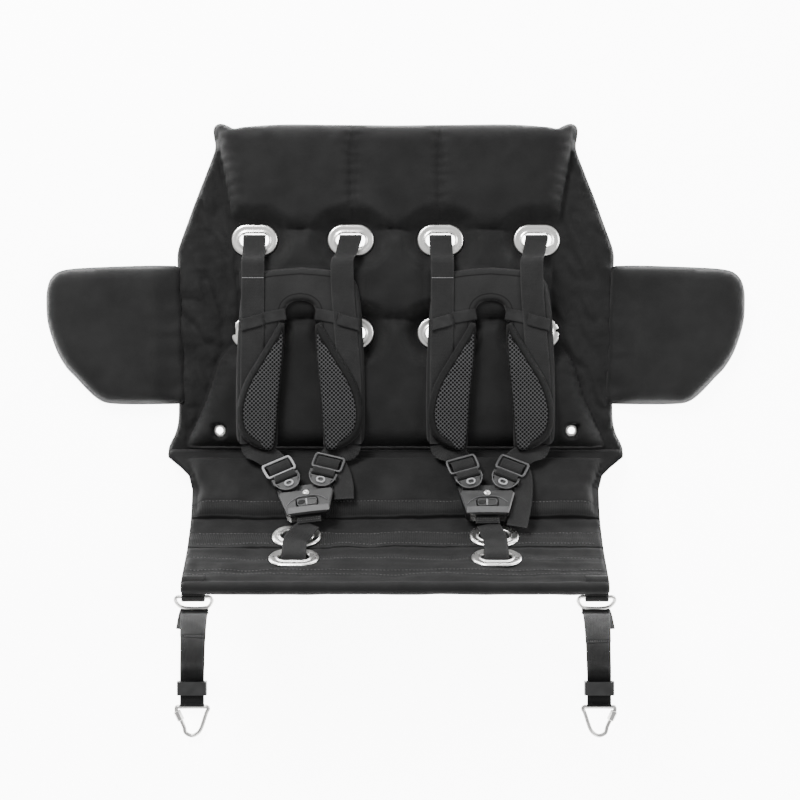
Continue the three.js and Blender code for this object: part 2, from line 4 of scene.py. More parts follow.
import bpy
import numpy as np
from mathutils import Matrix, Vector


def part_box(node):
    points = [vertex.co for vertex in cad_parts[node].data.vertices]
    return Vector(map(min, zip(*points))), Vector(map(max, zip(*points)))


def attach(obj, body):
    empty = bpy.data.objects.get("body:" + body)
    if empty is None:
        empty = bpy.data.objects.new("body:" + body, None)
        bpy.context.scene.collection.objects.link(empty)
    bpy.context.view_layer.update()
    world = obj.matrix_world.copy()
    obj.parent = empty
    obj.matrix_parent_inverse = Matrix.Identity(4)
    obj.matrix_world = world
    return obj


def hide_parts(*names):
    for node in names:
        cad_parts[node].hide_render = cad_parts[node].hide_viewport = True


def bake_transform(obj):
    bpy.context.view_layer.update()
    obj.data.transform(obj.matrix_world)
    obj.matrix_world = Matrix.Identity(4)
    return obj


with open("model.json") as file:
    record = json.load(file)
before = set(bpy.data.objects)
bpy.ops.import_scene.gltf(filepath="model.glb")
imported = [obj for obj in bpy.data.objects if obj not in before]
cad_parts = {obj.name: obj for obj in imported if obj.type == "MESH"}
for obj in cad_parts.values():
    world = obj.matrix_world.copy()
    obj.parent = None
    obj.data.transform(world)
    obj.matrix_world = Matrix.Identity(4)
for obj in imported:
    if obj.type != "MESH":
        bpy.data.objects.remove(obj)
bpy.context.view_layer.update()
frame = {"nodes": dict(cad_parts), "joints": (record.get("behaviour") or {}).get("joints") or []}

bl_info = {
    "name": "Double Child Seat Insert",
    "version": (1, 0, 0),
    "blender": (4, 5, 0),
    "location": "3D View > Sidebar > Seat Insert",
    "description": "Fabric, webbing, buckles and fittings of a two-child seat insert",
    "category": "Object",
}

MM = 0.001  # pieces are worked out in millimetres
SIDES = {"left": -1, "right": 1}


# ---------- sizes that follow the CAD ----------


def cad_box(node):
    """Lowest and highest corner of a CAD node, in millimetres."""
    low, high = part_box(node)
    return np.array(low) / MM, np.array(high) / MM


def joint(name):
    """A joint's position and axis, the position in millimetres."""
    found = next(j for j in frame["joints"] if j["name"] == name)
    return np.array(found.get("pos_m", (0, 0, 0))) / MM, np.array(found["axis"])


# Lines of the side view, as y and z, from the crease to the seat's front edge.
SEAT_LINE = np.array([(-215, 10), (-299.947, 71.717), (-331.742, 122.6), (-366.206, 207.901)])
SEAT_TILTS = np.radians([36, 58, 68])
SEAT_LENGTHS = np.array([105, 60, 92])
STRAP_TILT = math.radians(38)
HARNESS_X = 124
BUCKLE_TURNS = {"left": math.radians(8), "right": 0.0}
TONGUE_AT, TONGUE_X = 58, 16.5
TONGUE_LEANS = {"left": (20, -24), "right": (18, -26)}


# ---------- arrays ----------


def smooth_step(value, low, high):
    """From 0 below low to 1 above high, as 3t2 - 2t3 between them."""
    t = np.clip((value - low) / (high - low), 0, 1)
    return t * t * (3 - 2 * t)


def crown(distance, radius):
    """A quarter circle's height, from 0 at distance 0 to 1 at the radius and beyond."""
    t = np.clip(distance / radius, 0, 1)
    return np.sqrt(np.maximum(1 - (1 - t) ** 2, 0))


def noise(x, y, size, seed):
    """Smooth noise from -1 to 1: random values on a square lattice of that size, blended by smooth steps."""
    table = np.random.default_rng(seed).uniform(-1, 1, (61, 61))
    u, v = np.asarray(x) / size + 30, np.asarray(y) / size + 30
    i, j = np.floor(u).astype(int), np.floor(v).astype(int)
    f, g = u - i, v - j
    f, g = f * f * (3 - 2 * f), g * g * (3 - 2 * g)
    at = lambda a, b: table[a % 61, b % 61]
    return (
        (at(i, j) * (1 - f) + at(i + 1, j) * f) * (1 - g)
        + (at(i, j + 1) * (1 - f) + at(i + 1, j + 1) * f) * g
    )


def smooth_line(points, step, closed=False):
    """Points at an even step along the uniform Catmull-Rom spline through the given points."""
    p = np.asarray(points, float)
    if closed:
        padded = np.vstack([p[-1], p, p[0], p[1]])
    else:
        padded = np.vstack([2 * p[0] - p[1], p, 2 * p[-1] - p[-2]])
    t = np.linspace(0, 1, 24, endpoint=False)[:, None]
    spans = []
    for k in range(len(padded) - 3):
        a, b, c, d = padded[k : k + 4]
        spans.append(
            0.5 * (
                2 * b + (c - a) * t + (2 * a - 5 * b + 4 * c - d) * t**2 + (3 * b - a - 3 * c + d) * t**3
            )
        )
    dense = np.vstack([*spans, padded[-2][None]])
    run = np.concatenate([[0], np.cumsum(np.linalg.norm(np.diff(dense, axis=0), axis=1))])
    count = max(int(round(run[-1] / step)), 3)
    at = np.linspace(0, run[-1], count + 1)
    out = np.stack([np.interp(at, run, dense[:, k]) for k in range(dense.shape[1])], axis=1)
    return out[:-1] if closed else out


def edge_distance(points, outline):
    """Signed distance from each point to a closed outline, above 0 inside, and the nearest point on it.
    The nearest point is the least over all its straight stretches, and the sign comes from counting
    crossings."""
    a, b = outline, np.roll(outline, -1, axis=0)
    ab = b - a
    length = np.maximum((ab**2).sum(1), 1e-9)
    best = np.full(len(points), 1e18)
    near = np.zeros_like(points)
    inside = np.zeros(len(points), bool)
    for k in range(len(a)):
        t = np.clip(((points - a[k]) @ ab[k]) / length[k], 0, 1)
        spot = a[k] + t[:, None] * ab[k]
        d = ((points - spot) ** 2).sum(1)
        closer = d < best
        best[closer], near[closer] = d[closer], spot[closer]
        crosses = (a[k, 1] > points[:, 1]) != (b[k, 1] > points[:, 1])
        with np.errstate(divide="ignore", invalid="ignore"):
            at = a[k, 0] + (points[:, 1] - a[k, 1]) * ab[k, 0] / (ab[k, 1] if ab[k, 1] else 1e-9)
        inside ^= crosses & (points[:, 0] < at)
    return np.where(inside, 1, -1) * np.sqrt(best), near


def stadium(x, y, half, radius, count=40):
    """A slot outline: points at the radius from a straight line of that half length along x."""
    turn = np.linspace(-math.pi / 2, math.pi * 1.5, count, endpoint=False)
    side = np.where(turn < math.pi / 2, half, -half)
    return np.stack([x + side + radius * np.cos(turn), y + radius * np.sin(turn)], axis=1)


def grid_faces(rows, columns, wrap_rows=False, wrap_columns=False):
    """Four-cornered faces of a grid of points kept row by row."""
    r = np.arange(rows if wrap_rows else rows - 1)[:, None]
    c = np.arange(columns if wrap_columns else columns - 1)[None, :]
    n, m = (r + 1) % rows, (c + 1) % columns
    return np.stack(
        [r * columns + c, r * columns + m, n * columns + m, n * columns + c], axis=-1
    ).reshape(-1, 4)


# ---------- meshes ----------


def mesh_object(name, points, faces, materials, indices=None, uv=None):
    """A smooth-shaded object from points in millimetres and faces, with a material index a face and a
    UV a point."""
    mesh = bpy.data.meshes.new(name)
    mesh.from_pydata(
        (np.asarray(points) * MM).tolist(), [],
        [tuple(f) for part in faces for f in np.asarray(part).tolist()]
    )
    for material in materials:
        mesh.materials.append(material)
    if indices is not None:
        mesh.polygons.foreach_set("material_index", np.asarray(indices, np.int32))
    mesh.polygons.foreach_set("use_smooth", np.ones(len(mesh.polygons), bool))
    if uv is not None:
        corners = np.zeros(len(mesh.loops), np.int32)
        mesh.loops.foreach_get("vertex_index", corners)
        mesh.uv_layers.new(name="UVMap").data.foreach_set(
            "uv", np.asarray(uv, np.float32)[corners].ravel()
        )
    mesh.update()
    obj = bpy.data.objects.new(name, mesh)
    bpy.context.scene.collection.objects.link(obj)
    return obj


def clipped_grid(outline, holes, pitch):
    """A square grid cut to an outline and holes. Cells whose four corners lie inside are kept, and the
    border's points are pulled onto the nearest edge. Returns the points, the cells and each point's
    distance from the edge."""
    low, high = outline.min(0) - pitch, outline.max(0) + pitch
    xs = np.linspace(low[0], high[0], int((high[0] - low[0]) / pitch) + 1)
    ys = np.linspace(low[1], high[1], int((high[1] - low[1]) / pitch) + 1)
    grid = np.stack(np.meshgrid(xs, ys), axis=-1).reshape(-1, 2)
    distance, near = edge_distance(grid, outline)
    for hole in holes:
        close = (np.abs(grid - hole.mean(0)) < np.ptp(hole, axis=0) + 60).all(1)
        d, spot = edge_distance(grid[close], hole)
        d = -d
        where = np.flatnonzero(close)
        nearer = d < distance[where]
        distance[where[nearer]], near[where[nearer]] = d[nearer], spot[nearer]
    cells = grid_faces(len(ys), len(xs))
    cells = cells[(distance[cells] > 0.3 * pitch).all(1)]
    used, share = np.unique(cells, return_inverse=True)
    cells = share.reshape(-1, 4)
    points, distance, near = grid[used], distance[used], near[used]
    border = np.bincount(cells.ravel(), minlength=len(points)) < 4
    points = np.where(border[:, None], near, points)
    return points, cells, np.where(border, 0, distance), border


def pad(name, outline, top, bottom, pitch, material, holes=(), place=None, band=None):
    """A closed pad over an outline. Its upper and lower faces are height fields of x, y and the
    distance from the edge, and they share the edge's points. Band gives the binding's width at x, y:
    the attribute "rim" holds how far a point lies inside it."""
    points, cells, distance, border = clipped_grid(outline, holes, pitch)
    x, y = points.T
    high, low = top(x, y, distance), bottom(x, y, distance)
    middle = (high + low) / 2
    high, low = np.where(border, middle, high), np.where(border, middle, low)
    under = np.arange(len(points))
    inner = np.flatnonzero(~border)
    under[inner] = len(points) + np.arange(len(inner))
    flat = np.vstack([np.column_stack([x, y, high]), np.column_stack([x, y, low])[inner]])
    faces = np.vstack([cells, under[cells][:, ::-1]])
    spots = flat if place is None else place(flat)
    obj = mesh_object(name, spots, [faces], [material], uv=flat[:, :2])
    if band is not None:
        rim = distance - band(x, y)
        rim = np.concatenate([rim, rim[inner]])
        obj.data.attributes.new("rim", "FLOAT", "POINT").data.foreach_set("value", rim.astype(np.float32))
    return obj


def strap(name, line, across, width, thickness, material):
    """Flat webbing: a thin rounded section of eighteen points carried along a line, with capped ends.
    UV is the distance across and along it in millimetres."""
    line, across = np.asarray(line, float), np.broadcast_to(np.asarray(across, float), np.shape(line))
    along = np.gradient(line, axis=0)
    along /= np.linalg.norm(along, axis=1)[:, None]
    across = across - (across * along).sum(1)[:, None] * along
    across = across / np.linalg.norm(across, axis=1)[:, None]
    normal = np.cross(across, along)
    edge = np.array([-0.5, -0.485, -0.4, -0.2, 0, 0.2, 0.4, 0.485])
    lift = np.array([0, 0.42, 0.5, 0.47, 0.46, 0.47, 0.5, 0.42])
    u = np.concatenate([edge, -edge]) * width
    h = np.concatenate([lift, -lift]) * thickness
    points = line[:, None] + across[:, None] * u[None, :, None] + normal[:, None] * h[None, :, None]
    run = np.concatenate([[0], np.cumsum(np.linalg.norm(np.diff(line, axis=0), axis=1))])
    uv = np.stack(np.broadcast_arrays(u[None, :] + 0 * run[:, None], run[:, None]), axis=-1)
    rows, columns = points.shape[:2]
    ring = np.arange(columns)
    caps = [ring[None, :], ring[None, ::-1] + (rows - 1) * columns]
    return mesh_object(
        name, points.reshape(-1, 3), [grid_faces(rows, columns, False, True), *caps], [material],
        uv=uv.reshape(-1, 2)
    )


def tube(name, line, radius, materials, closed=False, sides=18, normal=(0, 0, 1), flat=1.0):
    """A round wire: a circle carried along a line that lies in the plane of the given normal, with
    capped ends. The radius may be one number or one a point, and flat scales it along the normal."""
    line = np.asarray(line, float)
    if closed:
        along = np.roll(line, -1, axis=0) - np.roll(line, 1, axis=0)
    else:
        along = np.gradient(line, axis=0)
    along /= np.linalg.norm(along, axis=1)[:, None]
    normal = np.asarray(normal, float)
    side = np.cross(along, normal)
    side /= np.linalg.norm(side, axis=1)[:, None]
    turn = np.linspace(0, 2 * math.pi, sides, endpoint=False)
    radius = np.broadcast_to(np.asarray(radius, float), len(line))[:, None, None]
    points = (
        line[:, None]
        + radius * (side[:, None] * np.cos(turn)[None, :, None] + normal * flat * np.sin(turn)[None, :, None])
    )
    faces = [grid_faces(len(line), sides, closed, True)]
    if not closed:
        ring = np.arange(sides)
        faces += [ring[None, ::-1], ring[None, :] + (len(line) - 1) * sides]
    return mesh_object(name, points.reshape(-1, 3), faces, materials)


def swept_slot(name, profile, half, spot, turn, materials, count=48):
    """A ring that follows a slot: a closed profile of radius and height carried round a straight line
    of that half length and its two ends, placed by a turn matrix and a spot."""
    profile = np.asarray(profile, float)
    angle = np.linspace(-math.pi / 2, math.pi * 1.5, count, endpoint=False)
    middle = np.where(angle < math.pi / 2, half, -half)
    r, z = profile[:, 0][None, :], profile[:, 1][None, :]
    x = middle[:, None] + r * np.cos(angle)[:, None]
    y = r * np.sin(angle)[:, None]
    points = (
        np.stack(np.broadcast_arrays(x, y, z + 0 * x), axis=-1).reshape(-1, 3) @ np.asarray(turn).T + spot
    )
    return mesh_object(name, points, [grid_faces(count, len(profile), True, True)[:, ::-1]], materials)


def stitches(name, spots, ways, normals, material, length=2.6, radius=0.38):
    """Separate sewn stitches: one spindle of six sides and five rings a spot, lying along its way and
    half sunk."""
    spots, ways, normals = (np.asarray(a, float) for a in (spots, ways, normals))
    ways = ways / np.linalg.norm(ways, axis=1)[:, None]
    normals = normals - (normals * ways).sum(1)[:, None] * ways
    normals /= np.linalg.norm(normals, axis=1)[:, None]
    side = np.cross(ways, normals)
    at = np.array([-0.5, -0.36, 0, 0.36, 0.5]) * length
    size = np.array([0.12, 0.85, 1, 0.85, 0.12]) * radius
    turn = np.linspace(0, 2 * math.pi, 6, endpoint=False)
    local = (
        ways[:, None, None] * at[None, :, None, None]
        + side[:, None, None] * (size[:, None] * np.cos(turn))[None, :, :, None]
        + normals[:, None, None] * (size[:, None] * np.sin(turn))[None, :, :, None]
    )
    points = (spots[:, None, None] + local).reshape(len(spots), 30, 3)
    body = grid_faces(5, 6, False, True)
    ends = np.array([[5, 4, 3, 2, 1, 0], [24, 25, 26, 27, 28, 29]])
    shift = (np.arange(len(spots)) * 30)[:, None, None]
    faces = [(body[None] + shift).reshape(-1, 4)[:, ::-1], (ends[None] + shift).reshape(-1, 6)[:, ::-1]]
    return mesh_object(name, points.reshape(-1, 3), faces, [material])


def soften(obj, width=0.6, segments=2):
    """Rounds an angular piece's edges with a bevel that keeps its faces' shading flat."""
    bevel = obj.modifiers.new("edges", "BEVEL")
    bevel.width, bevel.segments = width * MM, segments
    bevel.limit_method, bevel.angle_limit = "ANGLE", math.radians(28)
    bevel.harden_normals = True
    obj.data.polygons.foreach_set("use_smooth", np.ones(len(obj.data.polygons), bool))


# ---------- materials ----------


class Wire:
    """A node socket that takes part in arithmetic with numbers and other sockets."""

    def __init__(self, tree, socket):
        self.tree, self.socket = tree, socket

    def into(self, target, value):
        """Links a socket into a target, or sets a plain value on it."""
        if isinstance(value, Wire):
            self.tree.links.new(value.socket, target)
        else:
            target.default_value = value

    def node(self, kind, inputs=(), output=0, **settings):
        """Any other node: its settings, then its inputs by name or number; returns one output."""
        made = self.tree.nodes.new(kind)
        for key, value in settings.items():
            setattr(made, key, value)
        for key, value in dict(inputs).items():
            self.into(made.inputs[key], value)
        return Wire(self.tree, made.outputs[output])

    def math(self, operation, first, second=0.0, third=0.0):
        return self.node("ShaderNodeMath", {0: first, 1: second, 2: third}, operation=operation)

    def __add__(self, other):
        return self.math("ADD", self, other)

    def __radd__(self, other):
        return self.math("ADD", other, self)

    def __sub__(self, other):
        return self.math("SUBTRACT", self, other)

    def __rsub__(self, other):
        return self.math("SUBTRACT", other, self)

    def __mul__(self, other):
        return self.math("MULTIPLY", self, other)

    def __rmul__(self, other):
        return self.math("MULTIPLY", other, self)

    def __truediv__(self, other):
        return self.math("DIVIDE", self, other)

    def sin(self):
        return self.math("SINE", self)

    def absolute(self):
        return self.math("ABSOLUTE", self)

    def between(self, low, high):
        """From 0 at low to 1 at high."""
        return self.node("ShaderNodeMapRange", {0: self, 1: low, 2: high, 3: 0.0, 4: 1.0}, clamp=True)

    def mix(self, first, second):
        """A colour between two colours, by this factor."""
        made = self.tree.nodes.new("ShaderNodeMix")
        made.data_type = "RGBA"
        for key, value in ((0, self), (6, first), (7, second)):
            self.into(made.inputs[key], value)
        return Wire(self.tree, made.outputs[2])


def rgb(level, tint=(1, 1, 1)):
    """A linear colour from one level and a tint."""
    return (level * tint[0], level * tint[1], level * tint[2], 1.0)


class Finish:
    """A principled material with helpers for its coordinates, noise and bump."""

    def __init__(self, name, **constants):
        self.material = bpy.data.materials.new(name)
        self.material.use_nodes = True
        tree = self.material.node_tree
        self.shader = tree.nodes["Principled BSDF"]
        self.kit = Wire(tree, None)
        self.place = self.kit.node("ShaderNodeTexCoord", output="Object")
        self.uv = self.kit.node("ShaderNodeTexCoord", output="UV")
        for key, value in constants.items():
            self.set(key.replace("_", " "), value)

    def set(self, key, value):
        self.kit.into(self.shader.inputs[key], value)

    def axes(self, source):
        """The x, y and z of a coordinate."""
        split = self.kit.tree.nodes.new("ShaderNodeSeparateXYZ")
        self.kit.into(split.inputs[0], source)
        return [Wire(self.kit.tree, split.outputs[k]) for k in range(3)]

    def grain(self, scale, detail=3.0, source=None):
        """Noise of that many cells a metre, from 0 to 1."""
        return self.kit.node(
            "ShaderNodeTexNoise", {"Vector": source or self.place, "Scale": scale, "Detail": detail},
            output=0
        )

    def bump(self, height, distance, strength=1.0):
        """A bump whose full height is the distance, in millimetres."""
        self.set(
            "Normal",
            self.kit.node(
                "ShaderNodeBump", {"Height": height, "Distance": distance * MM, "Strength": strength}
            )
        )


def bound(finish, colour, rough, height, level, width=0.35):
    """Adds a binding's ribs and colour outside the rim attribute's zero line, with a stitched groove along it
    whose darkening is painted shade."""
    f = finish
    rim = f.kit.node("ShaderNodeAttribute", output=2, attribute_name="rim")
    x, y, _ = f.axes(f.place)
    rib = ((x + y) * (math.pi / 0.0011)).sin() * ((x - y) * (math.pi / 0.0011)).sin()
    inside = rim.between(-width, width)
    groove = 1.0 - rim.absolute().between(0.3, 1.1)
    tape = (rib * 0.5 + 0.5).mix(rgb(level), rgb(level * 2.2))
    # painted shade: the groove mask darkens the colour where the seam sinks in
    colour = (groove * 0.85).mix(inside.mix(tape, colour), rgb(level * 0.15))
    roughness = 0.74 * (1.0 - inside) + rough * inside
    return colour, roughness, height * inside + (1.0 - inside) * (rib * 0.3 + 1.2) - groove * 0.8


def woven(name, level, tint=(1, 1, 1), thread=0.55, relief=0.16, rough=0.82, worn=1.5, binding=None):
    """Plain woven cloth: over and under threads in both directions, cloudy fading and small flecks."""
    f = Finish(name, Sheen_Weight=0.03, Sheen_Roughness=0.5, Specular_IOR_Level=0.1)
    x, y, z = f.axes(f.place)
    turn = math.pi / (thread * MM)
    weave = (x * turn).sin() * (y * turn + z * turn * 0.7).sin()
    cloud = f.grain(22, 4.0).between(0.3, 0.7)
    fleck = f.grain(1500, 2.0).between(0.35, 0.75)
    colour = (fleck * 0.4).mix(
        cloud.mix(rgb(level, tint), rgb(level * worn, tint)), rgb(level * 2.6, tint)
    )
    rough = rough - cloud * 0.14 + fleck * 0.06
    height = weave * 0.35 + fleck * 0.5 + f.grain(260, 3.0) * 0.8
    if binding:
        colour, rough, height = bound(f, colour, rough, height, binding)
    f.set("Base Color", colour)
    f.set("Roughness", rough)
    f.bump(height, relief)
    return f.material


def seat_cloth(name, level):
    """The seat's cloth by UV: ribbed reinforcement bands across it and two sharp, wavering folds, with
    painted shade darkening the folds and the sewn seams.
    """
    f = Finish(name, Sheen_Weight=0.03, Specular_IOR_Level=0.06)
    x, s, _ = f.axes(f.uv)
    wave = (f.grain(7, 2.0) - 0.5) * 9.0
    at = s + wave
    rib = (x * (2 * math.pi / 2.3)).sin()
    bands = (
        (at.between(82, 84) - at.between(101, 102)) + (at.between(130, 132) - at.between(157, 158))
        + (at.between(180, 181) - at.between(190, 191)) * 0.6
    )
    folds = 2.0 - (at - 103.0).absolute().between(0.5, 1.6) - (at - 160.0).absolute().between(0.5, 1.6)
    seams = (
        3.0 - (at - 187.0).absolute().between(0.2, 0.9) - (at - 217.0).absolute().between(0.2, 0.9)
        - (at - 227.0).absolute().between(0.2, 0.9)
    )
    cloud = f.grain(26, 4.0).between(0.3, 0.7)
    fleck = f.grain(1500, 2.0).between(0.35, 0.75)
    colour = (fleck * 0.4).mix(cloud.mix(rgb(level), rgb(level * 1.7)), rgb(level * 2.6))
    colour = (bands * (rib * 0.25 + 0.35)).mix(colour, rgb(level * 3.2))
    # painted shade: the folds and the seam grooves darkened almost to black, where the cloth tucks in
    colour = (folds + seams * 0.45).mix(colour, rgb(level * 0.08))
    f.set("Base Color", colour)
    f.set("Roughness", 0.8 - cloud * 0.12)
    f.bump(
        bands * (rib * 0.2 + 1.0) + fleck * 0.12 + f.grain(260, 3.0) * 0.25 - folds * 1.6 - seams * 0.5,
        0.55
    )
    return f.material


def webbing_weave(name, level, pitch=1.9, across=1.6):
    """Strap webbing by UV: rows of slanted picks across the width, ribs along it and raised selvedges."""
    f = Finish(name, Sheen_Weight=0.03, Specular_IOR_Level=0.04)
    u, v, _ = f.axes(f.uv)
    row = (v * (2 * math.pi / pitch) + (u * (math.pi / across)).sin() * 1.6).sin()
    rib = (u * (2 * math.pi / across)).sin()
    cloud = f.grain(40, 3.0).between(0.3, 0.7)
    light = (row * 0.5 + 0.5) * 0.45 + fuzz(f) * 0.35
    edge = u.absolute().between(12.6, 14.2)
    f.set(
        "Base Color", (light + edge * 0.35).mix(rgb(level), cloud.mix(rgb(level * 2.6), rgb(level * 3.6)))
    )
    f.set("Roughness", 0.78 - cloud * 0.16)
    f.bump(row * 0.6 + rib * 0.35 + fuzz(f) * 0.4, 0.28)
    return f.material


def fuzz(finish):
    """Fine fibre noise."""
    return finish.grain(1900, 2.0)


def ribbed_tape(name, level):
    """Grosgrain binding: fine ribs across the tape, which curves round the edge, and a soft sheen."""
    f = Finish(name, Sheen_Weight=0.03, Specular_IOR_Level=0.08)
    x, y, z = f.axes(f.place)
    rib = ((x + y) * (math.pi / 0.0009)).sin() * ((x - y) * (math.pi / 0.0009) + z * 2000).sin()
    cloud = f.grain(55, 3.0).between(0.3, 0.7)
    f.set("Base Color", cloud.mix(rgb(level), rgb(level * 1.6)))
    f.set("Roughness", 0.7 - cloud * 0.12)
    f.bump(rib * 0.5 + f.grain(500, 2.0), 0.22)
    return f.material


def spacer_mesh(name, strand, hollow, pitch=5.3):
    """Spacer mesh: a diamond lattice of rounded strands round holes painted near-black as shade, by UV in
    millimetres.
    """
    f = Finish(name, Sheen_Weight=0.03, Specular_IOR_Level=0.08)
    u, v, _ = f.axes(f.uv)
    turn = math.pi / pitch
    lattice = (((u + v) * turn).sin() * ((u - v) * turn).sin()).absolute()
    hole = lattice.between(0.26, 0.46)
    # painted shade: the holes take the near-black hollow level, standing for the shade inside them
    colour = hole.mix(rgb(strand, (0.99, 1, 1.02)), rgb(hollow))
    colour, rough, height = bound(
        f, colour, 0.72 + hole * 0.2, 1.0 - hole - lattice * 0.3 + fuzz(f) * 0.12, hollow * 8
    )
    f.set("Base Color", colour)
    f.set("Roughness", rough)
    f.bump(height, 0.7)
    return f.material


def moulded(name, level, rough=0.36, tint=(1, 1, 1.02)):
    """Moulded plastic: a fine spark grain, faint flow marks and rubbed, duller patches."""
    f = Finish(name, Specular_IOR_Level=0.5, IOR=1.49)
    grain = f.grain(900, 2.0)
    marks = f.grain(70, 4.0).between(0.35, 0.7)
    f.set("Base Color", marks.mix(rgb(level, tint), rgb(level * 1.5, tint)))
    f.set("Roughness", rough + marks * 0.14 + grain * 0.06)
    f.bump(grain, 0.05)
    return f.material


def steel(name, level, rough=0.24, tint=(1, 0.99, 0.965)):
    """Plated or polished steel: brushed streaks, small scratches and slight tarnish."""
    f = Finish(name, Metallic=1.0)
    streak = f.grain(380, 5.0)
    cloud = f.grain(60, 3.0).between(0.35, 0.7)
    f.set("Base Color", cloud.mix(rgb(level, tint), rgb(level * 0.82, tint)))
    f.set("Roughness", rough + streak * 0.12 + cloud * 0.08)
    f.bump(streak, 0.03)
    return f.material


def paper(name):
    """The pale floor: almost even, with a trace of grain."""
    f = Finish(name, Roughness=0.9, Emission_Strength=9.0)
    f.set("Base Color", f.grain(8, 2.0).mix(rgb(0.93), rgb(0.95)))
    f.set("Emission Color", f.grain(6, 2.0).mix(rgb(0.98), rgb(1.0)))
    return f.material


MATERIALS = {}


def make_materials():
    """All the finishes, by name."""
    MATERIALS.update(
        shell=woven("shell_cloth", 0.0052),
        seat=seat_cloth("seat_cloth", 0.0062),
        hem=woven("hem_cloth", 0.0048),
        panel=woven("panel_cloth", 0.0066, rough=0.86),
        bound=woven("bound_cloth", 0.0085, binding=0.007),
        binding=ribbed_tape("binding_tape", 0.007),
        mesh=spacer_mesh("spacer_mesh", 0.045, 0.0006),
        webbing=webbing_weave("strap_webbing", 0.0085),
        # leg: the strap webbing darkened, painted shade to offset the extra light the sloping leg straps
        # catch
        leg=webbing_weave("shaded_leg_webbing", 0.0046),
        elastic=ribbed_tape("elastic_band", 0.0105),
        plastic=moulded("black_plastic", 0.0045),
        # plate: grey plastic, partly its own dark grey and partly painted faint highlight on rims, ridges and
        # slide frames
        plate=moulded("grey_highlit_plastic", 0.028, rough=0.4),
        # edge: pale plastic, painted highlight for the lit slide frame, the tongues' eyes and the buckles'
        # bars; the webbing stitches use it too
        edge=moulded("painted_highlight_edges", 0.16, rough=0.4),
        # void: near-black, painted shade standing for the buckle's hole
        void=moulded("painted_shade_recess", 0.0008, rough=0.8),
        thread=ribbed_tape("sewing_thread", 0.045),
        eyelet=steel("plated_eyelet", 0.9, rough=0.2),
        steel=steel("polished_steel", 0.5, rough=0.26),
        floor=paper("floor_paper"),
    )


# ---------- properties ----------


def size(name, description, default):
    """A length property, in metres."""
    return bpy.props.FloatProperty(
        name=name, description=description, default=default, min=0.0, unit="LENGTH", precision=4
    )


class StageProperties(bpy.types.PropertyGroup):
    distance: size("Camera height", "Height of the camera above the surface the seat lies on", 1.8)
    shift_x: bpy.props.FloatProperty(
        name="Camera x", description="Where the camera stands along x", default=0.00585, unit="LENGTH"
    )
    shift_y: bpy.props.FloatProperty(
        name="Camera y", description="Where the camera stands along y", default=-0.1469, unit="LENGTH"
    )
    lens: bpy.props.FloatProperty(
        name="Lens", description="Focal length in millimetres", default=60.9, subtype="DISTANCE_CAMERA"
    )


class BackProperties(bpy.types.PropertyGroup):
    sheet: size("Cover", "Thickness of the cover where nothing pads it", 0.0045)
    seam_width: size("Seam width", "Half the width of a sewn channel", 0.022)
    pinch: size("Eyelet pinch", "How far round an eyelet the padding is pressed down", 0.027)
    pitch: size("Mesh pitch", "Distance between the points of the back's mesh", 0.003)


class SeatProperties(bpy.types.PropertyGroup):
    cushion: size("Cushion", "Thickness of the seat cushion", 0.0125)
    sheet: size("Panel", "Thickness of the seat panel", 0.003)
    hem: size("Hem radius", "Radius of the rolled front hem", 0.0078)


class WingProperties(bpy.types.PropertyGroup):
    thickness: size("Thickness", "Thickness of a wing at its fullest", 0.0255)
    edge: size("Edge radius", "How far in from the edge the wing is rounded", 0.02)


class EyeletProperties(bpy.types.PropertyGroup):
    hole: size("Hole radius", "Radius of the slot's round ends", 0.009)
    half: size("Half length", "Half the straight length of the slot", 0.01)
    flange: size("Flange", "Width of the rim round the hole", 0.012)
    rise: size("Rise", "Height of the rim above the cover", 0.003)


class HarnessProperties(bpy.types.PropertyGroup):
    binding: size("Binding", "Width of the binding on the pads", 0.0088)
    webbing: size("Webbing width", "Width of the harness webbing", 0.03)
    thickness: size("Webbing thickness", "Thickness of all webbing", 0.0017)
    keeper: size("Keeper", "Width of the elastic keepers", 0.015)


class LegProperties(bpy.types.PropertyGroup):
    width: size("Strap width", "Width of a leg strap", 0.032)
    wire: size("Link wire", "Radius of the quick link's wire", 0.0027)


# ---------- pieces ----------


def settings(context):
    """The property groups, one a group of pieces."""
    return context.scene.seat_insert


def mm(value):
    return value / MM


def declare(obj, body, nodes=()):
    """Puts a piece on its body and hides the CAD nodes that it stands for."""
    if body:
        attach(obj, body)
    if nodes:
        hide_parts(*nodes)
    return obj


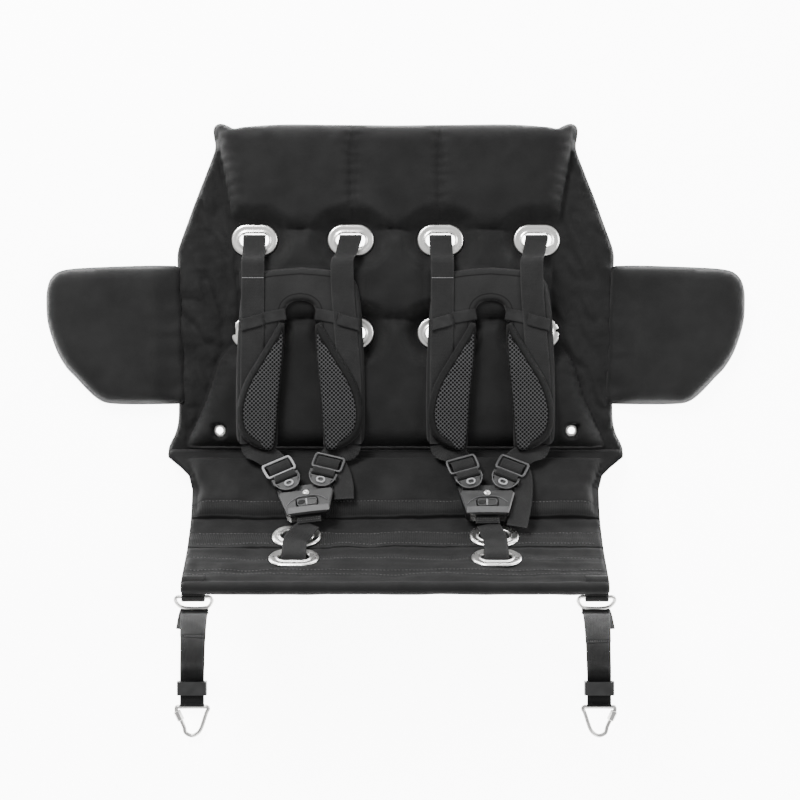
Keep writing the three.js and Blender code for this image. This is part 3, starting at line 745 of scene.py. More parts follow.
def make_stage(props):
    """Floor, three soft lights and the camera straight above."""
    floor = mesh_object(
        "floor", np.array([(-4e3, -4e3, -0.6), (4e3, -4e3, -0.6), (4e3, 4e3, -0.6), (-4e3, 4e3, -0.6)]),
        [[(0, 1, 2, 3)]], [MATERIALS["floor"]]
    )
    world = bpy.data.worlds.new("studio")
    world.use_nodes = True
    world.node_tree.nodes["Background"].inputs[0].default_value = (1, 1, 1, 1)
    world.node_tree.nodes["Background"].inputs[1].default_value = 0.7
    bpy.context.scene.world = world
    for name, spot, wide, power in (
        ("key_light", (-0.9, 1.5, 1.5), 0.9, 120),
        ("fill_light", (1.7, 0.3, 1.3), 1.0, 34),
        ("front_light", (0.1, -1.9, 1.2), 1.0, 34),
    ):
        light = bpy.data.lights.new(name, "AREA")
        light.size, light.energy = wide, power
        lamp = bpy.data.objects.new(name, light)
        lamp.location = spot
        aim = bpy.context.scene.collection
        aim.objects.link(lamp)
        lamp.rotation_euler = (-np_vector(spot, (0, -0.1, 0))).to_track_quat("Z", "Y").to_euler()
    camera = bpy.data.objects.new("camera", bpy.data.cameras.new("camera"))
    camera.data.lens, camera.data.sensor_width = props.lens, 36
    camera.location = (props.shift_x, props.shift_y, props.distance)
    bpy.context.scene.collection.objects.link(camera)
    bpy.context.scene.camera = camera


def np_vector(start, end):
    """The vector from start to end."""
    return Vector(end) - Vector(start)


EYELET_NODES = [
    f"{row}_eyelet_{column}" for row in ("upper", "lower") for column in (
        "left_outer", "left_inner", "right_inner", "right_outer"
    )
]


def eyelet_centres():
    """Middle of each slot in the back, in x and y."""
    return {name: ((cad_box(name)[0] + cad_box(name)[1]) / 2)[:2] for name in EYELET_NODES}


PAD_HALF_Y = np.array([-214, -200, -147, -95, -56, -10, 105, 190, 222])
PAD_HALF = np.array([279, 275, 250, 234, 203, 205, 219, 234, 238])


def back_outline():
    """Outline of the back with the two small ears at its upper corners."""
    half = [
        (0, 218), (80, 219), (150, 219.5), (200, 216), (214, 213.5), (222, 217), (231, 220.5),
        (238, 219), (242, 213), (241.5, 203), (240, 186), (250, 158), (264, 122), (278, 84), (289, 52),
        (290, 30), (289, -20), (288, -80), (288, -150), (289, -176), (293, -192), (299, -204),
        (302, -214), (298, -222), (270, -222), (200, -221.5), (100, -222), (0, -222),
    ]
    right = smooth_line(half, 3.0)
    return np.vstack([right, (right[1:-1] * (-1, 1))[::-1]])


def slot_distance(x, y, centre, half):
    """Distance from a slot's middle line."""
    dx = np.maximum(np.abs(x - centre[0]) - half, 0)
    return np.hypot(dx, y - centre[1])


def back_height(x, y, props, centres, half):
    """Height of the padded face: three pillows between the sewn channels, lower where the eyelets pinch
    them, with two upright seams in the headrest, puckers along every seam and loose folds in the side
    panels."""
    sheet, width = mm(props.sheet), mm(props.seam_width)
    pad_half = np.interp(y, PAD_HALF_Y, PAD_HALF)
    full = np.where(y > 78, 25.2, 27.2)
    outer = crown(pad_half - np.abs(x), 30)
    rows = np.minimum(np.abs(y - 78), np.abs(y + 40))
    seam = 0.3 + 0.7 * crown(rows + 0.8 * noise(x, y, 16, 3), width)
    ends = crown(219 - y, 26) * crown(y + 209, 24)
    upright = 0.62 + 0.38 * crown(np.abs(np.abs(x) - 57.5), 13)
    upright = np.where(y > 78, upright, 1)
    pillow = full * outer * seam * ends * upright
    pinch = np.ones_like(x)
    creases = np.zeros_like(x)
    for k, centre in enumerate(centres.values()):
        d = slot_distance(x, y, centre, half)
        pinch = np.minimum(pinch, smooth_step(d, 20, 20 + mm(props.pinch)))
        turn = np.arctan2(y - centre[1], x - centre[0])
        ray = np.sin(turn * 9 + 2.3 * k + 1.5 * noise(x, y, 14, 20 + k))
        creases += ray * np.exp(-(((d - 30) / 9) ** 2)) * 1.7
    under = ((np.abs(np.abs(x) - HARNESS_X) < 86) & (y < 26)) * 1.0
    lively = 1 - 0.75 * under
    pucker = np.sin(x * 0.42 + 2.2 * noise(x, y, 22, 7)) * np.exp(-np.abs(rows - 4) / 7) * 1.3
    pucker += np.sin(y * 0.45 + 2 * noise(x, y, 20, 9)) * np.exp(
        -np.abs(pad_half - np.abs(x) - 5) / 8
    ) * 1.8
    pucker += (
        np.sin(y * 0.5 + 2 * noise(x, y, 18, 11)) * np.exp(-np.abs(np.abs(np.abs(x) - 57.5) - 4) / 6)
        * (y > 78) * 1.0
    )
    soft = noise(x, y, 34, 1) * 1.5 + noise(x, y, 13, 2) * 0.55
    height = (
        sheet + pillow * pinch + (pucker + soft - 1.6) * lively * np.clip(pillow / 14, 0.12, 1) * pinch
        + creases * pinch * lively
    )
    outside = smooth_step(np.abs(x) - pad_half, -2, 8)
    fold = np.abs(noise(x + 0.35 * y, y * 0.45, 13, 5)) * 6.5 + np.abs(noise(x, y, 9, 6)) * 1.6
    height = height + outside * fold
    top = np.where((np.abs(np.abs(x) - HARNESS_X) < 88) & (y < 34), 32.2, 34.5)
    return np.clip(height, sheet * 0.85, top)


def make_back(props, eyelets):
    """The quilted back with its real slots and two tie holes, as one padded piece."""
    centres = eyelet_centres()
    half = mm(eyelets.half)
    holes = [stadium(*c, half, mm(eyelets.hole) + 1.4) for c in centres.values()]
    holes += [stadium(side * 232, -187, 0.01, 5.2, 24) for side in (-1, 1)]
    top = lambda x, y, d: np.maximum(
        back_height(x, y, props, centres, half) * (0.35 + 0.65 * crown(d, 6)), 1.4
    )
    bottom = lambda x, y, d: 0.3 + 0.5 * (1 - crown(d, 5))
    cover = pad("back_cover", back_outline(), top, bottom, mm(props.pitch), MATERIALS["shell"], holes)
    declare(
        cover, "back",
        ["rear_cover", "headrest_cushion", "middle_cushion", "lumbar_cushion"]
    )
    x = np.concatenate([np.arange(-215, 215, 4.6)] * 2)
    y = np.repeat([78.0, -40.0], len(x) // 2)
    keep = np.ones(len(x), bool)
    for c in centres.values():
        keep &= slot_distance(x, y, c, half) > 25
    keep &= (y > 0) | (np.abs(np.abs(x) - HARNESS_X) > 84)
    x, y = x[keep], y[keep]
    z = back_height(x, y, props, centres, half)
    rows = stitches(
        "quilt_stitches", np.column_stack([x, y, z]), np.tile((1.0, 0, 0), (len(x), 1)),
        np.tile((0, 0, 1.0), (len(x), 1)), MATERIALS["binding"]
    )
    declare(rows, "back")
    y = np.concatenate([np.arange(86, 212, 4.6)] * 2)
    x = np.repeat([-57.5, 57.5], len(y) // 2)
    z = back_height(x, y, props, centres, half)
    seams = stitches(
        "headrest_stitches", np.column_stack([x, y, z]), np.tile((0, 1.0, 0), (len(x), 1)),
        np.tile((0, 0, 1.0), (len(x), 1)), MATERIALS["binding"]
    )
    declare(seams, "back")


def seat_place(flat):
    """From x, the distance along the seat and the height above it, to a place in the frame. The seat's
    side view is its three straight stretches, rounded at their bends by averaging over 36 mm."""
    s = np.linspace(-20, 300, 641)
    tilt = SEAT_TILTS[np.clip(np.searchsorted(np.cumsum(SEAT_LENGTHS), s), 0, 2)]
    kernel = np.ones(73) / 73
    tilt = np.convolve(np.pad(tilt, 36, mode="edge"), kernel, mode="valid")
    step = s[1] - s[0]
    y = np.concatenate([[0], np.cumsum(-np.cos(tilt[:-1]) * step)])
    z = np.concatenate([[0], np.cumsum(np.sin(tilt[:-1]) * step)])
    zero = np.argmin(np.abs(s))
    y, z = y - y[zero] + SEAT_LINE[0, 0], z - z[zero] + SEAT_LINE[0, 1]
    x, at, up = flat.T
    a = np.interp(at, s, tilt)
    return np.column_stack(
        [x, np.interp(at, s, y) + up * np.sin(a), np.interp(at, s, z) + up * np.cos(a)]
    )


def seat_height(x, s, props):
    """Height of the seat's upper face: a cushion, then ribbed bands, two folds, loose cross wrinkles
    and a dip."""
    cushion = (
        mm(props.cushion) * crown(s - 12, 18) * crown(102 - s, 20)
        * crown(np.interp(s, [0, 20, 60], [284, 270, 254]) - np.abs(x), 16)
    )
    bands = sum(
        np.exp(-(((s - at) / 2.4) ** 2)) * lift for at,
        lift in (
            (104, -1.8), (112, 1.0), (145, 0.9), (161, -1.8), (170, 1.0), (187, -0.9), (202, 0.9),
            (222, -0.9), (236, 0.8)
        )
    )
    wrinkles = (
        noise(x * 0.32, s, 11, 31) * 1.3 + noise(x, s, 30, 32) * 1.6
        + noise(x * 1.2, s * 0.6, 9, 33) * 0.5
    )
    return cushion + (wrinkles + 0.4) * np.clip(
        (s - 6) / 14, 0.1, 1
    ) * smooth_step(262 - s, 0, 30) + bands


def make_seat(props):
    """The seat's cover with its cushion, the rolled hem, the loops that hold the rings and the rows of
    stitching."""
    half = lambda s: np.interp(
        s, [-4, 2, 8, 16, 26, 38, 60, 150, 256], [295, 301, 301, 292, 281, 270, 263.5, 259, 253.5]
    )
    s = np.linspace(-3, 256, 120)
    outline = np.vstack([np.column_stack([half(s), s]), np.column_stack([-half(s), s])[::-1]])
    outline = outline[::-1]
    sheet = mm(props.sheet)
    top = lambda x, s, d: seat_height(x, s, props) * crown(d, 7) + 0.1 + 1.5 * (1 - smooth_step(s, 0, 10))
    bottom = lambda x, s, d: -sheet * (0.3 + 0.7 * crown(d, 3)) * smooth_step(s, -12, 14)
    cover = pad("seat_cover", outline, top, bottom, 3.2, MATERIALS["seat"], place=seat_place)
    declare(cover, None, ["seat_panel", "seat_cushion"])
    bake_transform(cover)
    x = np.linspace(-252, 252, 170)
    radius = mm(props.hem) * (1 + 0.06 * noise(x, 0 * x, 26, 41)) * (
        0.72 + 0.28 * crown(252 - np.abs(x), 7)
    )
    line = seat_place(np.column_stack([x, 257 + 0.9 * noise(x, 0 * x, 60, 42), -1.5 + 0 * x]))
    hem = tube("front_hem", line, radius, [MATERIALS["hem"]], sides=20, normal=(0, 0.93, -0.37))
    declare(hem, "seat")
    for row, at in enumerate((85, 133, 154, 187, 217, 227)):
        x = np.arange(-246, 247, 4.4)
        spots = seat_place(np.column_stack([x, at + 0 * x, seat_height(x, at + 0 * x, props) + 0.25]))
        rows = stitches(
            f"seat_stitches_{row + 1}", spots, np.tile((1.0, 0, 0), (len(x), 1)),
            np.tile((0, 0.9, 0.45), (len(x), 1)), MATERIALS["thread"], radius=0.42
        )
        declare(rows, "seat")
    for side in SIDES:
        low, high = cad_box(f"d_ring_{side}")
        x, y, z = (low[0] + high[0]) / 2, *joint(f"ring_swing_{side}")[0][1:]
        turn = np.linspace(math.radians(-60), math.radians(240), 30)
        ring = np.column_stack([0 * turn + x, y + 5.2 * np.cos(turn), z - 5.2 * np.sin(turn)])
        lead = seat_place(np.array([[x, 238, 4.4], [x, 250, 7.5]]))
        under = seat_place(np.array([[x, 252, -7.5], [x, 240, -5.2]]))
        loop = strap(
            f"ring_loop_{side}", smooth_line(np.vstack([under[::-1], ring[::-1], lead[::-1]]), 1.5),
            (1, 0, 0), 27, 1.7, MATERIALS["webbing"]
        )
        declare(loop, "seat")


def make_wings(props):
    """The two side wings: soft panels with a rounded edge, thinner along their seam with the back."""
    shape = [
        (286, 31), (320, 31.5), (360, 30.5), (400, 29), (430, 27), (447, 23), (457, 14), (461.5, 2),
        (463, -14), (461, -45), (450, -80), (437, -103), (423, -118), (409, -133), (397, -144),
        (385, -150.5), (368, -152.5), (340, -153), (300, -152.5), (278, -152),
    ]
    thickness, radius = mm(props.thickness), mm(props.edge)
    for side, sign in SIDES.items():
        outline = smooth_line(shape, 2.6)
        if sign < 0:
            outline = (outline * (-1, 1))[::-1]

        def top(x, y, d, sign=sign):
            full = thickness - 5
            seam = 0.42 + 0.58 * smooth_step(np.abs(x), 288, 320)
            soft = noise(x, y, 42, 61 + sign) * 1.5 + noise(x, y, 15, 63 + sign) * 0.5
            fold = np.sin(
                y * 0.21 + 2 * noise(x, y, 25, 65 + sign)
            ) * np.exp(-(np.abs(x) - 288) / 16) * 1.6
            return np.clip(5 + (full * seam + soft + fold) * crown(d, radius), 1.5, thickness + 1)

        bottom = lambda x, y, d: 0.5 + 7.5 * (1 - crown(d, 14))
        wing = pad(f"wing_panel_{side}", outline, top, bottom, 3.4, MATERIALS["panel"])
        declare(wing, None, [f"wing_{side}"])
        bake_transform(wing)


def eyelet_profile(props):
    """Section of an eyelet from its barrel over the inner bead and a stepped, rounded flange and back
    beneath it."""
    hole, out, rise = mm(props.hole), mm(props.hole + props.flange), mm(props.rise)
    return [
        (hole, -4.8), (hole, 0.6), (hole + 0.25, 2.0), (hole + 1.0, rise), (
            hole + 2.0, rise + 0.1
        ), (hole + 2.9, rise - 0.5),
        (hole + 3.6, rise - 0.9), (
            hole + 6.0, rise - 0.75
        ), (out - 3.2, rise - 0.35), (out - 1.5, rise - 0.75),
        (out - 0.35, rise - 1.7), (out, 0.5), (out - 0.4, 0.05), (hole + 1.2, 0.05), (hole + 1.2, -4.8),
    ]


def make_eyelets(props):
    """Stamped slot eyelets in the back and the seat, and two small round ones at the tie holes."""
    profile = eyelet_profile(props)
    half = mm(props.half)
    cover = cad_box("rear_cover")[1][2] + 0.4
    for node, centre in eyelet_centres().items():
        ring = swept_slot(
            f"{node}_ring", profile, half, (*centre, cover), np.eye(3), [MATERIALS["eyelet"]], 64
        )
        declare(ring, "back", [node])
    short = [(r, max(z, -3.0)) for r, z in profile]
    for name, facet, along in (("spare_crotch_eyelet", 1, 35), ("crotch_eyelet", 2, 24)):
        tilt = -SEAT_TILTS[facet]
        turn = np.array(
            [(1, 0, 0), (0, math.cos(tilt), -math.sin(tilt)), (0, math.sin(tilt), math.cos(tilt))]
        )
        start = SEAT_LINE[facet]
        y = start[0] - along * math.cos(-tilt) + 0.4 * math.sin(-tilt)
        z = start[1] + along * math.sin(-tilt) + 0.4 * math.cos(-tilt)
        for side, sign in SIDES.items():
            ring = swept_slot(
                f"{name}_{side}_ring", short, half, (sign * HARNESS_X, y, z), turn, [MATERIALS["eyelet"]],
                64
            )
            declare(ring, "seat", [f"{name}_{side}"])
    small = [
        (4.3, -4.5), (4.3, 0.4), (4.9, 1.5), (6.0, 1.9), (7.6, 1.2), (9.4, 1.1), (10.4, 0.6),
        (10.6, -0.4), (5.0, -0.4), (5.0, -4.5)
    ]
    for side, sign in SIDES.items():
        ring = swept_slot(
            f"tie_eyelet_{side}", small, 0.001, (sign * 232, -187, 13.5), np.eye(3),
            [MATERIALS["eyelet"]], 40
        )
        declare(ring, "back")


def pad_levels():
    """Heights of the backing pad and of the shoulder pads, from the CAD."""
    low, high = cad_box("backing_pad_left")
    under, over = cad_box("shoulder_pad_left_outer")
    return low[2], high[2], under[2], over[2]


def make_harness_pads(props):
    """Backing pads, leaf-shaped mesh shoulder pads and the elastic keepers over the webbing."""
    base, backing, under, over = pad_levels()
    band = mm(props.binding)
    for side, sign in SIDES.items():
        x0 = sign * HARNESS_X
        # the pad is one loop: right half down and round, then the mirror image back up the left
        inner = smooth_line(
            [
                (0, -17), (11, -19.5), (18.5, -27), (20.5, -42), (23, -70), (27, -110), (29, -160),
                (30, -207)
            ],
            2.0
        )
        outer = smooth_line(
            [
                (78, -205), (83.5, -192), (84, -120), (81, -50), (77, -10), (71, 9), (58, 18), (36, 23),
                (0, 26)
            ],
            2.5
        )
        half = np.vstack([inner, [(34, -210), (64, -210)], outer])
        right = half[1:-1]
        left = (right * (-1, 1))[::-1]
        top_point, arch_point = outer[-1], inner[0]
        loop = np.vstack([[arch_point], right, [top_point], left])
        puff = lambda x, y, d: base + 0.6 + (backing - base - 0.9) * (
            0.45 + 0.55 * crown(d, 7)
        ) + noise(x, y, 18, 71) * 0.25
        flat = lambda x, y, d: base + 0.3 + 1.2 * (1 - crown(d, 4))
        piece = pad(
            f"backing_pad_{side}_cloth", loop + (x0, 0), puff, flat, 2.3, MATERIALS["bound"],
            band=lambda x, y: band
        )
        declare(piece, "back", [f"backing_pad_{side}"])
        for hand, way in (("outer", sign), ("inner", -sign)):
            leaf = np.array(
                [
                    (20, -44), (26, -46), (38, -66), (55, -94), (70, -119), (79, -143), (82.5, -168),
                    (76, -193), (58, -208), (36, -212.5), (30, -190), (27, -147), (21.5, -90)
                ],
                float
            )
            outline = smooth_line(leaf * (way, 1), 2.2, closed=True)
            if way < 0:
                outline = outline[::-1]
            sag = lambda x, y: 0.8 * np.sin(y * 0.11 + x * 0.02)
            puff = lambda x, y, d: under + 1.6 + (over - under - 2.0) * (
                0.35 + 0.65 * crown(d, 12)
            ) - 1.2 * np.exp(-(((d - band - 0.6) / 1.3) ** 2)) + sag(x - x0, y) * 0.5
            flat = lambda x, y, d: under + 0.4 + 2.2 * (1 - crown(d, 5))
            piece = pad(
                f"shoulder_pad_{side}_{hand}_cloth", outline + (x0, 0), puff, flat, 1.9,
                MATERIALS["mesh"], band=lambda x,
                y: 1.2 + (band - 1.2) * smooth_step(
                    np.abs(x - x0) - np.interp(y, [-212, -46], [50, 22.5]), -3, 3
                )
            )
            declare(piece, "back", [f"shoulder_pad_{side}_{hand}"])
            column = webbing_x(side, hand)
            edge = x0 + way * 19
            end = x0 + way * 77
            line = smooth_line(
                [
                    (edge, -35, backing + 0.6), (column - way * 17, -40, backing + 1.2),
                    (column - way * 14, -42, under + 1.2), (column, -46, under + 1.6),
                    (column + way * 11, -49, under + 1.2), (end, -51, backing + 0.6)
                ],
                2.0
            )
            keeper = strap(
                f"keeper_{side}_{hand}", line, (0, 1, 0), mm(props.keeper), 1.2, MATERIALS["elastic"]
            )
            declare(keeper, "back")


def webbing_x(side, hand):
    """Middle of a shoulder webbing along x, from the CAD."""
    low, high = cad_box(f"shoulder_webbing_{side}_{hand}")
    return (low[0] + high[0]) / 2


def harness_frame(side):
    """Origin, right, down-strap and normal of the buckle's frame, from its joint and the straps' tilt
    and turn."""
    origin = joint(f"harness_swing_{side}")[0]
    tilt, turn = STRAP_TILT, BUCKLE_TURNS[side]
    right, up = np.array([1.0, 0, 0]), np.array([0, math.cos(tilt), -math.sin(tilt)])
    normal = np.array([0, math.sin(tilt), math.cos(tilt)])
    across = right * math.cos(turn) + up * math.sin(turn)
    upward = -right * math.sin(turn) + up * math.cos(turn)
    return origin, across, upward, normal


def tongue_frame(side, hand):
    """Origin, across, upward and normal of a tongue's frame."""
    origin, across, upward, normal = harness_frame(side)
    way = SIDES[side] if hand == "outer" else -SIDES[side]
    lean = math.radians(TONGUE_LEANS[side][0 if way < 0 else 1])
    spot = origin + across * way * TONGUE_X - upward * TONGUE_AT
    right = across * math.cos(lean) + upward * math.sin(lean)
    up = -across * math.sin(lean) + upward * math.cos(lean)
    return spot, right, up, normal


def make_shoulder_straps(props):
    """Shoulder webbing from each slot over the rim and under the pads, the free stretch down to the
    slide, the stretch over the tongue's head, and the slides' wire frames with the tongues' rims and
    eyes."""
    width, thick = mm(props.webbing), mm(props.thickness)
    row = 65.0
    _, backing, under, _ = pad_levels()
    strap_z = (backing + under) / 2
    for side in SIDES:
        for hand in ("outer", "inner"):
            x = webbing_x(side, hand)
            shift = 10.0 if (side, hand) in (("left", "inner"), ("right", "outer")) else -1.5
            path = [
                (x, row + 7.2, -4), (x, row + 6.6, 3), (x, row + 3, 8.2), (
                    x - shift * 0.2, row - 5, 12.5
                ), (x - shift * 0.55, row - 20, 24),
                (x - shift * 0.95, 36, strap_z - 0.5), (x - shift, 22, strap_z + 1.0), (
                    x - shift * 0.9, -8, strap_z + 0.5
                ), (x - shift * 0.5, -60, strap_z), (x, -130, strap_z), (x, -204, strap_z),
            ]
            line = smooth_line(path, 2.5)
            twist = np.exp(-(((line[:, 1] - 44) / 20) ** 2)) * (0.22 if shift > 0 else 0.05)
            lean = np.column_stack([np.ones(len(line)), np.zeros(len(line)), twist])
            upper = strap(f"shoulder_strap_{side}_{hand}", line, lean, width, thick, MATERIALS["webbing"])
            declare(upper, "back", [f"shoulder_webbing_{side}_{hand}"])
            if shift < 0:
                at = np.linspace(-13, 13, 13)
                row_y = 12.0
                spots = np.column_stack([at + x - shift, np.full(13, row_y), np.full(13, strap_z + 1.85)])
                sewn = stitches(
                    f"webbing_stitches_{side}_{hand}", spots, np.tile((1.0, 0, 0), (13, 1)),
                    np.tile((0, 0, 1.0), (13, 1)), MATERIALS["edge"], length=2.0
                )
                declare(sewn, "back")
            spot, across, upward, normal = tongue_frame(side, hand)
            start = np.array([x, -204.0, strap_z])
            slide = 41.5
            top = spot + upward * (slide + 15) - normal * 1.6
            path = [
                start, (x * 0.9 + top[0] * 0.1, -211, strap_z),
                start * 0.42 + top * 0.58 + (0, -1.5, 0.8), top,
                spot + upward * (slide + 8) - normal * 1.6
            ]
            line = smooth_line(path, 2.0)
            share = smooth_step(np.linspace(0, 1, len(line)), 0.05, 0.75)[:, None]
            lower = strap(
                f"lower_strap_{side}_{hand}", line, (1 - share) * np.array([1.0, 0, 0]) + share * across,
                width - 0.6, thick, MATERIALS["webbing"]
            )
            declare(lower, None)
            strap_z * MM
            strap_z * MM
            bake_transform(lower)
            local = [
                (slide + 13, -1.2), (slide + 8, 0.4), (slide + 3.5, 4.0), (slide - 3.5, 4.0),
                (slide - 8.5, 0.5), (30.5, 1.6), (26.5, 8.3), (20.5, 8.7), (18.4, 7.0), (18.0, 1.0)
            ]
            line = smooth_line([spot + upward * a + normal * b for a, b in local], 1.2)
            end = strap(
                f"tongue_strap_{side}_{hand}", line, across, width - 0.8, thick, MATERIALS["webbing"]
            )
            declare(end, f"tongue_{side}_{hand}", [f"tongue_webbing_{side}_{hand}"])
            corner = [(19 - 4, 10.3), (17.8, 9.4), (19, 6.5), (19, -6.5), (17.8, -9.4), (19 - 4, -10.3)]
            corner += [(-a, -b) for a, b in corner]
            ring = np.array(
                [
                    spot + across * a + upward * (b + slide) + normal * 2.9 for a,
                    b in smooth_line(corner, 1.2, closed=True)
                ]
            )
            # painted highlight: the left outer slide gets the pale plastic because it looks lit, the other
            # slides the grey one
            frame_ring = tube(
                f"strap_slide_{side}_{hand}_ring", ring, 1.6,
                [MATERIALS["edge" if (side, hand) == ("left", "outer") else "plate"]], closed=True,
                sides=12, normal=normal, flat=0.8
            )
            declare(frame_ring, f"tongue_{side}_{hand}", [f"strap_slide_{side}_{hand}"])
            head = [
                (-17.2, 20), (-16.6, 15), (-13.2, 8), (-8, 3.0), (0, 1.2), (8, 3.0), (13.2, 8),
                (16.6, 15), (17.2, 20)
            ]
            ridge = np.array(
                [spot + across * a + upward * b + normal * 6.9 for a, b in smooth_line(head, 1.2)]
            )
            # partly painted highlight: the tongue's rim in the grey plastic
            rim = tube(
                f"tongue_rim_{side}_{hand}", ridge, 0.9, [MATERIALS["plate"]], sides=10, normal=normal
            )
            declare(rim, f"tongue_{side}_{hand}")
            turn = np.column_stack([across, upward, normal])
            # painted highlight: the eye's ring is in the pale plastic
            eye = [(2.5, 0), (2.5, 0.9), (3.1, 1.5), (4.2, 1.5), (4.9, 0.8), (4.9, 0)]
            eyelet = swept_slot(
                f"tongue_eye_{side}_{hand}", eye, 1.2, spot + upward * 10.2 + normal * 7.2, turn,
                [MATERIALS["edge"]], 28
            )
            declare(eyelet, f"tongue_{side}_{hand}")


def make_strap_tails(props):
    """The loose ends of the adjusters' webbing, which hang behind the buckles' right-hand sides."""
    for side, hand in (("left", "inner"), ("right", "outer")):
        spot, across, upward, normal = tongue_frame(side, hand)
        down = -harness_frame(side)[2]
        start = spot + upward * 46 - normal * 1.0 + across * 6
        reach, drift = (58, 6) if side == "left" else (92, -6)
        path = [
            start, start + down * reach * 0.2 + (5, 0, -1),
            start + down * reach * 0.6 + (5 + drift * 0.5, 0, -1), start + down * reach + (drift, 0, -1)
        ]
        line = smooth_line(path, 2.0)
        tail = strap(
            f"strap_tail_{side}", line, (1, 0, 0), mm(props.webbing) - 4, mm(props.thickness) * 1.4,
            MATERIALS["webbing"]
        )
        declare(tail, f"tongue_{side}_{hand}")


def make_buckles():
    """Buckles and tongues: the CAD shapes with rounded edges, and on each buckle its rivet, ridge, smooth
    lower plate, hollow, small window and bar; the hollow is painted near-black as shade and the bar pale as a
    painted highlight."""
    nodes = frame["nodes"]
    for side in SIDES:
        for node, finish in (
            (f"buckle_housing_{side}", "plastic"), (f"buckle_cover_{side}", "plastic"),
            (f"release_button_{side}", "plastic")
        ):
            nodes[node].data.materials.clear()
            nodes[node].data.materials.append(MATERIALS[finish])
            soften(nodes[node], 0.9 if "housing" in node else 0.6)
        origin, across, upward, normal = harness_frame(side)
        turn = np.column_stack([across, upward, normal])
        # the ridge, foot and window are in the grey plastic, partly painted faint highlight
        ridge = [(-25, -84), (-21, -79), (-11, -73.5), (0, -72), (11, -72.6), (19, -76), (25, -81)]
        line = smooth_line([(a, b, 9.2) for a, b in ridge], 1.0) @ turn.T + origin
        arch = tube(f"buckle_arch_{side}", line, 0.8, [MATERIALS["plate"]], normal=normal, sides=10)
        declare(arch, f"buckle_{side}")
        line = smooth_line(
            [(a, b, 9.3) for a, b in ((-26.5, -93), (-13, -92.4), (0, -92.2), (13, -92.4), (26.5, -93))],
            2.0
        ) @ turn.T + origin
        foot = strap(f"buckle_foot_{side}", line, upward, 9.6, 1.9, MATERIALS["plate"])
        declare(foot, f"buckle_{side}")
        oval = np.array(
            [
                (
                    -7.0 + 4.9 * math.cos(a), -81.2 + 3.5 * math.sin(a) + 0.6 * math.cos(a), 9.75
                ) for a in np.linspace(0, 2 * math.pi, 30, endpoint=False)
            ]
        )
        rows = [oval + (0, 0, -0.8), oval, (oval - oval.mean(0)) * 0.55 + oval.mean(0) + (0, 0, 0.05)]
        ring = np.arange(30)
        points = np.vstack(rows) @ turn.T + origin
        # painted shade: a near-black oval patch stands for the dark hole in the buckle
        hollow = mesh_object(
            f"buckle_hollow_{side}", points,
            [grid_faces(3, 30, False, True), ring[None, ::-1], ring[None, :] + 60], [MATERIALS["void"]]
        )
        declare(hollow, f"button_{side}")
        slot = [(1.6, -77.6), (11.4, -78.2), (9.6, -84.6), (1.2, -85.0)]
        line = smooth_line([(a, b, 9.8) for a, b in slot], 0.8, closed=True) @ turn.T + origin
        window = tube(
            f"buckle_window_{side}", line, 0.55, [MATERIALS["plate"]], closed=True, normal=normal, sides=8
        )
        declare(window, f"button_{side}")
        # painted highlight: the bar is in the pale plastic
        line = np.array([(-0.6, b, 9.8) for b in (-76.6, -80.0, -83.0, -86.0)]) @ turn.T + origin
        bar = tube(f"buckle_bar_{side}", line, 0.8, [MATERIALS["edge"]], normal=normal, sides=8)
        declare(bar, f"button_{side}")
        profile = [(0.4, -1.0), (4.2, -1.0), (4.3, 0.2), (3.9, 1.1), (2.6, 1.7), (0.4, 1.9)]
        rivet = swept_slot(
            f"buckle_rivet_{side}", profile, 0.001, origin + turn @ np.array([0, -67, 9.2]), turn,
            [MATERIALS["steel"]], 28
        )
        declare(rivet, f"buckle_{side}")
        for hand in ("outer", "inner"):
            node = nodes[f"tongue_{side}_{hand}"]
            node.data.materials.clear()
            node.data.materials.append(MATERIALS["plastic"])
            soften(node, 0.8)


def make_crotch_straps(props):
    """Crotch webbing up out of the used slot, over the spare one and on to the buckle, with its sewn
    loop there."""
    width, thick = mm(props.webbing), mm(props.thickness)
    for side, sign in SIDES.items():
        x = sign * HARNESS_X
        origin, across, upward, normal = harness_frame(side)
        foot = origin - upward * 107 - normal * 2.6
        at = [(195, -3), (193.5, 3), (188, 7.6), (174, 8.8), (158, 9.2)]
        line = seat_place(np.array([(x, s, h) for s, h in at]))
        line = smooth_line(np.vstack([line, [line[-1] * 0.45 + foot * 0.55 + normal * 1.5], [foot]]), 2.0)
        share = smooth_step(np.linspace(0, 1, len(line)), 0.6, 1.0)[:, None]
        lower = strap(
            f"crotch_strap_{side}_cloth", line, (1 - share) * np.array([1.0, 0, 0]) + share * across,
            width, thick, MATERIALS["webbing"]
        )
        declare(lower, "seat", [f"crotch_strap_{side}"])
        local = [(-106.5, -0.4), (-103, 0.2), (-98, 0.3), (-93, 0.0)]
        line = smooth_line([origin + upward * a + normal * b for a, b in local], 1.5)
        upper = strap(f"crotch_loop_{side}", line, across, width + 0.4, thick * 1.5, MATERIALS["webbing"])
        declare(upper, f"buckle_{side}")
        u, v = np.meshgrid(np.linspace(-12.5, 12.5, 9), (-100.5, -103.5))
        spots = origin + u.ravel()[:, None] * across + v.ravel()[:, None] * upward + 1.6 * normal
        sewn = stitches(
            f"crotch_stitches_{side}", spots, np.tile(across, (len(spots), 1)),
            np.tile(normal, (len(spots), 1)), MATERIALS["thread"], length=2.0
        )
        declare(sewn, f"buckle_{side}")


